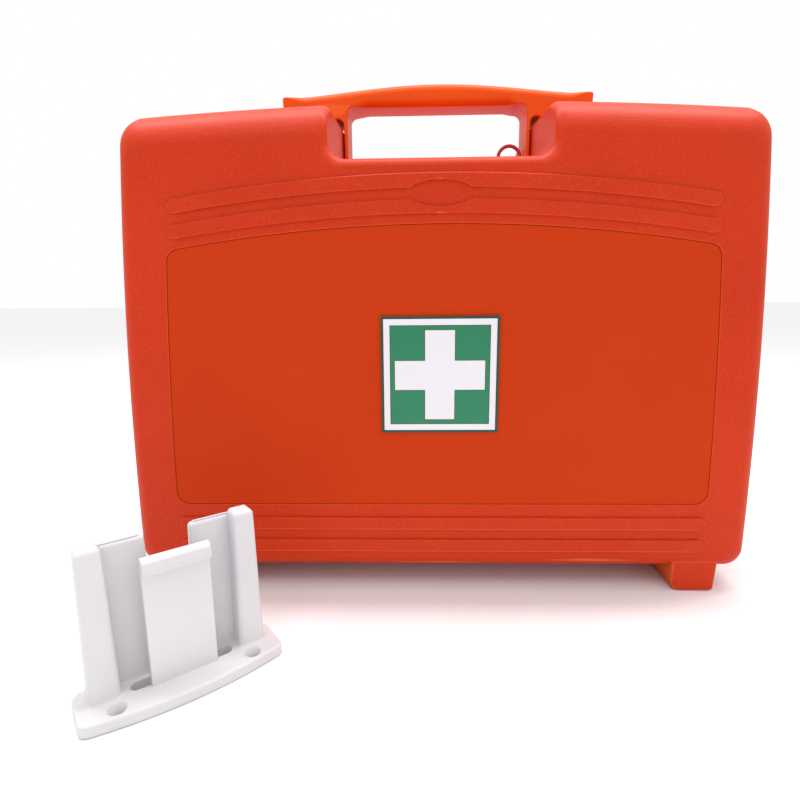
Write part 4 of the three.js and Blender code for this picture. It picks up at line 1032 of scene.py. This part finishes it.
def pillow(name, thin, long, seed):
    # a filled bag: thickness grows from a crimped seal as (1 - |s|^5)^0.5, with gathers that fade
    # from each seal
    centre, (wide, deep, tall), order = packFrame(name, thin, long)
    edge = 1 - filled["seal"] / tall
    s = np.concatenate((np.linspace(-1, -edge, filled["sealRows"]),
                        np.linspace(-edge, edge, filled["along"])[1:-1],
                        np.linspace(edge, 1, filled["sealRows"])))
    inner = np.clip(np.abs(s) / edge, 0, 1)
    swell = np.sqrt(np.maximum(1 - inner ** 5, 0))
    angle = np.linspace(0, 2 * math.pi, filled["around"], endpoint=False)
    ex, ey = superEllipse(angle, filled["power"])
    thick = filled["sealHalf"] + (deep - 2 * filled["sealHalf"]) * swell
    wave = filled["crimp"] * np.cos(s * tall * 2 * math.pi / filled["crimpPitch"])
    crimp = np.where(inner >= 1, wave, 0)
    width = wide * (1 - filled["drawnIn"] * swell)
    fade = np.exp(-np.abs(np.abs(s) - edge) * tall / filled["fade"]) * (inner < 1)
    rng = np.random.default_rng(seed)
    phases, waves = rng.uniform(0, 6.28, 5), rng.integers(5, 17, 5)
    folds = sum(np.sin(waves[k] * ex[None] * 1.6 + phases[k] + s[:, None] * (k - 2)) for k in range(5)) / 5
    slow = np.sin(3.1 * ex[None] + 2.3 * s[:, None] * 2 + phases[0]) * filled["slow"]
    dent = -np.abs(filled["gather"] * (folds * fade[:, None] * 2 + slow * swell[:, None]))
    y = ey[None] * np.maximum(thick[:, None] + dent, 0.4) + crimp[:, None] * np.sign(ey)[None] * 0.5
    x = ex[None] * width[:, None]
    rings = np.empty(x.shape + (3,))
    rings[..., order[0]], rings[..., order[1]], rings[..., order[2]] = x, y, (s * tall)[:, None]
    return ringBody(rings + centre)


def softPiece(name, node, bodies, finish, body, slotName, fill=0.6):
    makePiece(name, bodies, finish, body, [node], 70)


# piece, node, how many of them, thin and long axes, finish, body and slot
packKinds = [
    ("dressingPack", "dressing_pack", 2, (1, 2), "whiteFilm", "case", "wrap_film"),
    ("triangularBandage", "triangular_bandage", 3, (2, 0), "whiteFilm", "case", "wrap_film"),
    ("glovePack", "glove_pack", 1, (1, 0), "blueFilm", "case", "blue_film"),
    ("rescueBlanket", "rescue_blanket", 1, (1, 2), "goldFoil", "case", "foil"),
    ("compressPack", "compress_pack", 4, (2, 0), "packPaper", "lid", "paper"),
    ("coldPack", "cold_pack", 1, (1, 2), "gelBlue", "lid", "blue_film"),
    ("eyeDressing", "eye_dressing", 2, (1, 2), "whiteFilm", "lid", "wrap_film"),
]
seed = 0
for name, node, count, axes, finish, body, slotName in packKinds:
    for k in range(1, count + 1):
        # the only one of its kind has no number
        numbered = (name + str(k), node + "_" + str(k)) if count > 1 else (name, node)
        softPiece(*numbered, [pillow(numbered[1], *axes, seed)], finish, body, slotName)
        seed += 1


def coil(name, core, turns, spiral, sag=0.0, sides=120):
    # a rolled strip on the y axis: each end face rises and falls as cos(2 pi (r / pitch - angle / 2 pi))
    low, high = nodeBox(name)
    centre, (_, deep, radius) = (low + high) / 2, (high - low) / 2
    r = np.linspace(core, radius - 0.7, turns * 8)
    turn = np.linspace(0, 2 * math.pi, sides, endpoint=False)
    pitch = (radius - core) / turns
    wave = spiral * (0.5 - 0.5 * np.cos(2 * math.pi * (r[:, None] / pitch - turn[None] / (2 * math.pi))))
    rise = deep - wave - sag * np.cos(r[:, None] * 0.9 + turn[None] * 2) ** 2
    side = np.linspace(-1, 1, 15)[1:-1, None] * (deep - 0.7)
    sideR = radius - 0.12 * np.cos(side * 3 + turn[None] * 3) - 0.12
    endR = np.broadcast_to(r[:, None], rise.shape)
    rowR = np.concatenate((endR, sideR, endR[::-1]))
    rowY = np.concatenate((-rise, side + 0 * turn, rise[::-1]))
    rings = np.stack((rowR * np.cos(turn), rowY, rowR * np.sin(turn)), -1)
    return (rings + centre).reshape(-1, 3), closedGrid(len(rowR), sides)


for k in (1, 2, 3):
    softPiece("bandageRoll%d" % k, "bandage_roll_%d" % k, [coil("bandage_roll_%d" % k, 2.2, 9, 0.9, 0.5)],
              "gauze", "case", "gauze", 0.5)
for k in (1, 2):
    makePiece("tapeRoll%d" % k, [coil("tape_roll_%d" % k, 9, 24, 0.15)], "tapePaper", "case",
              ["tape_roll_%d" % k], 50)


card = {"thick": 0.4, "flap": 16, "tabIn": 22, "tabDrop": 5}


def carton():
    # a card box: body, a lid flap that stands a card's thickness proud, and a tuck tab
    (x0, y0, z0), (x1, y1, z1) = nodeBox("plaster_box")
    thick, top, tabIn = card["thick"], z1 - card["flap"], card["tabIn"]
    return [box(x0 + thick, y0 + thick, z0, x1 - thick, y1 - thick, z1 - 0.5, 0.5),
            box(x0, y0, top, x1, y1, z1, 0.6),
            box(x0 + tabIn, y0, top - card["tabDrop"], x1 - tabIn, y0 + 1, top + 2, 0.35)]


makePiece("plasterBox", carton(), "boxCard", "case", ["plaster_box"], 40)


booklet = {"board": 0.6, "spine": 0.7, "inside": 0.8, "pages": 12, "leaf": 0.86}


def bookletBodies():
    # card boards and a spine round a block of pages that sits just inside them
    (x0, y0, z0), (x1, y1, z1) = nodeBox("guide_booklet")
    board, spine, inside, count = (booklet[k] for k in ("board", "spine", "inside", "pages"))
    cover = [box(x0, y0, z0, x1, y0 + board, z1, 0.25), box(x0, y1 - board, z0, x1, y1, z1, 0.25),
             box(x0, y0, z0, x0 + spine, y1, z1, 0.3)]
    step = (y1 - y0 - 2 * spine) / count
    pages = [box(x0 + inside, y0 + spine + k * step, z0 + inside,
                 x1 - inside - 0.25 * abs(math.sin(k * 2.1)), y0 + spine + (k + booklet["leaf"]) * step,
                 z1 - inside, 0.06, 1) for k in range(count)]
    return cover, pages


coverParts, pageParts = bookletBodies()
makePiece("guideBooklet", coverParts, "bookletCard", "lid", ["guide_booklet"], 40)
makePiece("guidePages", pageParts, "tapePaper", "lid")


def foldedCloth(name, layers=6):
    # cloth folded flat: a stack of soft slabs with rounded edges, each drawn in by its own slack
    (x0, y0, z0), (x1, y1, z1) = nodeBox(name)
    deep = (y1 - y0) / layers
    made = []
    for k in range(layers):
        low = y0 + k * deep
        slack = 1.2 * math.sin(k * 2.4) ** 2
        made.append(wavySlab(x0 + slack, low, z0 + slack,
                             x1 - slack * 0.6, low + deep * 1.03 - 0.1, z1 - slack, k))
    return made


def wavySlab(x0, y0, z0, x1, y1, z1, phase, around=72, along=40):
    # super-ellipse section of power 5 carried upwards, its faces pressed in by a slow wave
    s = np.sin(np.linspace(-math.pi / 2, math.pi / 2, along))
    ex, ey = superEllipse(np.linspace(0, 2 * math.pi, around, endpoint=False), 5)
    end = np.sqrt(np.maximum(1 - np.abs(s) ** 12, 0))[:, None]
    wide, deep, tall = (x1 - x0) / 2, (y1 - y0) / 2, (z1 - z0) / 2
    wave = 0.25 * (np.sin(3 * ex[None] + phase * 1.7 + 4 * s[:, None]) - 1)
    x = ex[None] * (wide - 1.5 * (1 - end))
    y = ey[None] * np.maximum(deep * end + wave * end, 0.15)
    z = np.broadcast_to((s * tall)[:, None], y.shape)
    rings = np.stack((x + 0 * y, y, z), -1)
    return ringBody(rings + np.array(((x0 + x1) / 2, (y0 + y1) / 2, (z0 + z1) / 2)))


softPiece("slingPack", "sling_pack", foldedCloth("sling_pack"), "gauze", "lid", "gauze", 0.5)
print("contents made")

studio = {"floor": (0.90, 0.90, 0.905), "reach": 12.0, "under": -0.0004, "world": 1.0}


def groundPlane():
    reach, under = studio["reach"], studio["under"]
    mesh = bpy.data.meshes.new("studioFloor")
    corners = [(-reach, -reach), (reach, -reach), (reach, reach), (-reach, reach)]
    mesh.from_pydata([(x, y, under) for x, y in corners], [], [(0, 1, 2, 3)])
    made = bpy.data.objects.new("studioFloor", mesh)
    scene.collection.objects.link(made)
    return made


def floorFinish():
    made = Finish("paleFloor", **{"Specular IOR Level": 0.2})
    cloud = made.noise(3, 3.0)
    made.set("Base Color", made.mix(cloud, studio["floor"], tuple(c * 0.99 for c in studio["floor"])))
    made.set("Roughness", cloud * 0.05 + 0.75)
    return made.material


floor = groundPlane()
floor.data.materials.append(floorFinish())

lamps = [
    {"name": "topStrip", "place": (0.0, 0.10, 1.15), "aim": (0, 0.06, 0.25),
     "size": (1.5, 0.14), "power": 13},
    {"name": "highKey", "place": (-0.25, -0.75, 1.25), "aim": (0, 0, 0.15),
     "size": (0.5, 0.4), "power": 1.6},
]
for lamp in lamps:
    data = bpy.data.lights.new(lamp["name"], "AREA")
    data.shape = "RECTANGLE"
    data.size, data.size_y = lamp["size"]
    data.energy = lamp["power"]
    made = bpy.data.objects.new(lamp["name"], data)
    place = Vector(lamp["place"])
    aim = Vector(lamp["aim"]) - place
    made.matrix_world = Matrix.Translation(place) @ aim.to_track_quat("-Z", "Y").to_matrix().to_4x4()
    scene.collection.objects.link(made)

world = bpy.data.worlds.new("studioAir")
world.use_nodes = True
air = world.node_tree.nodes["Background"]
air.inputs["Color"].default_value = (1, 1, 1, 1)
air.inputs["Strength"].default_value = studio["world"]
scene.world = world
scene.view_settings.view_transform = "Standard"
scene.view_settings.look = "None"
print("studio made")
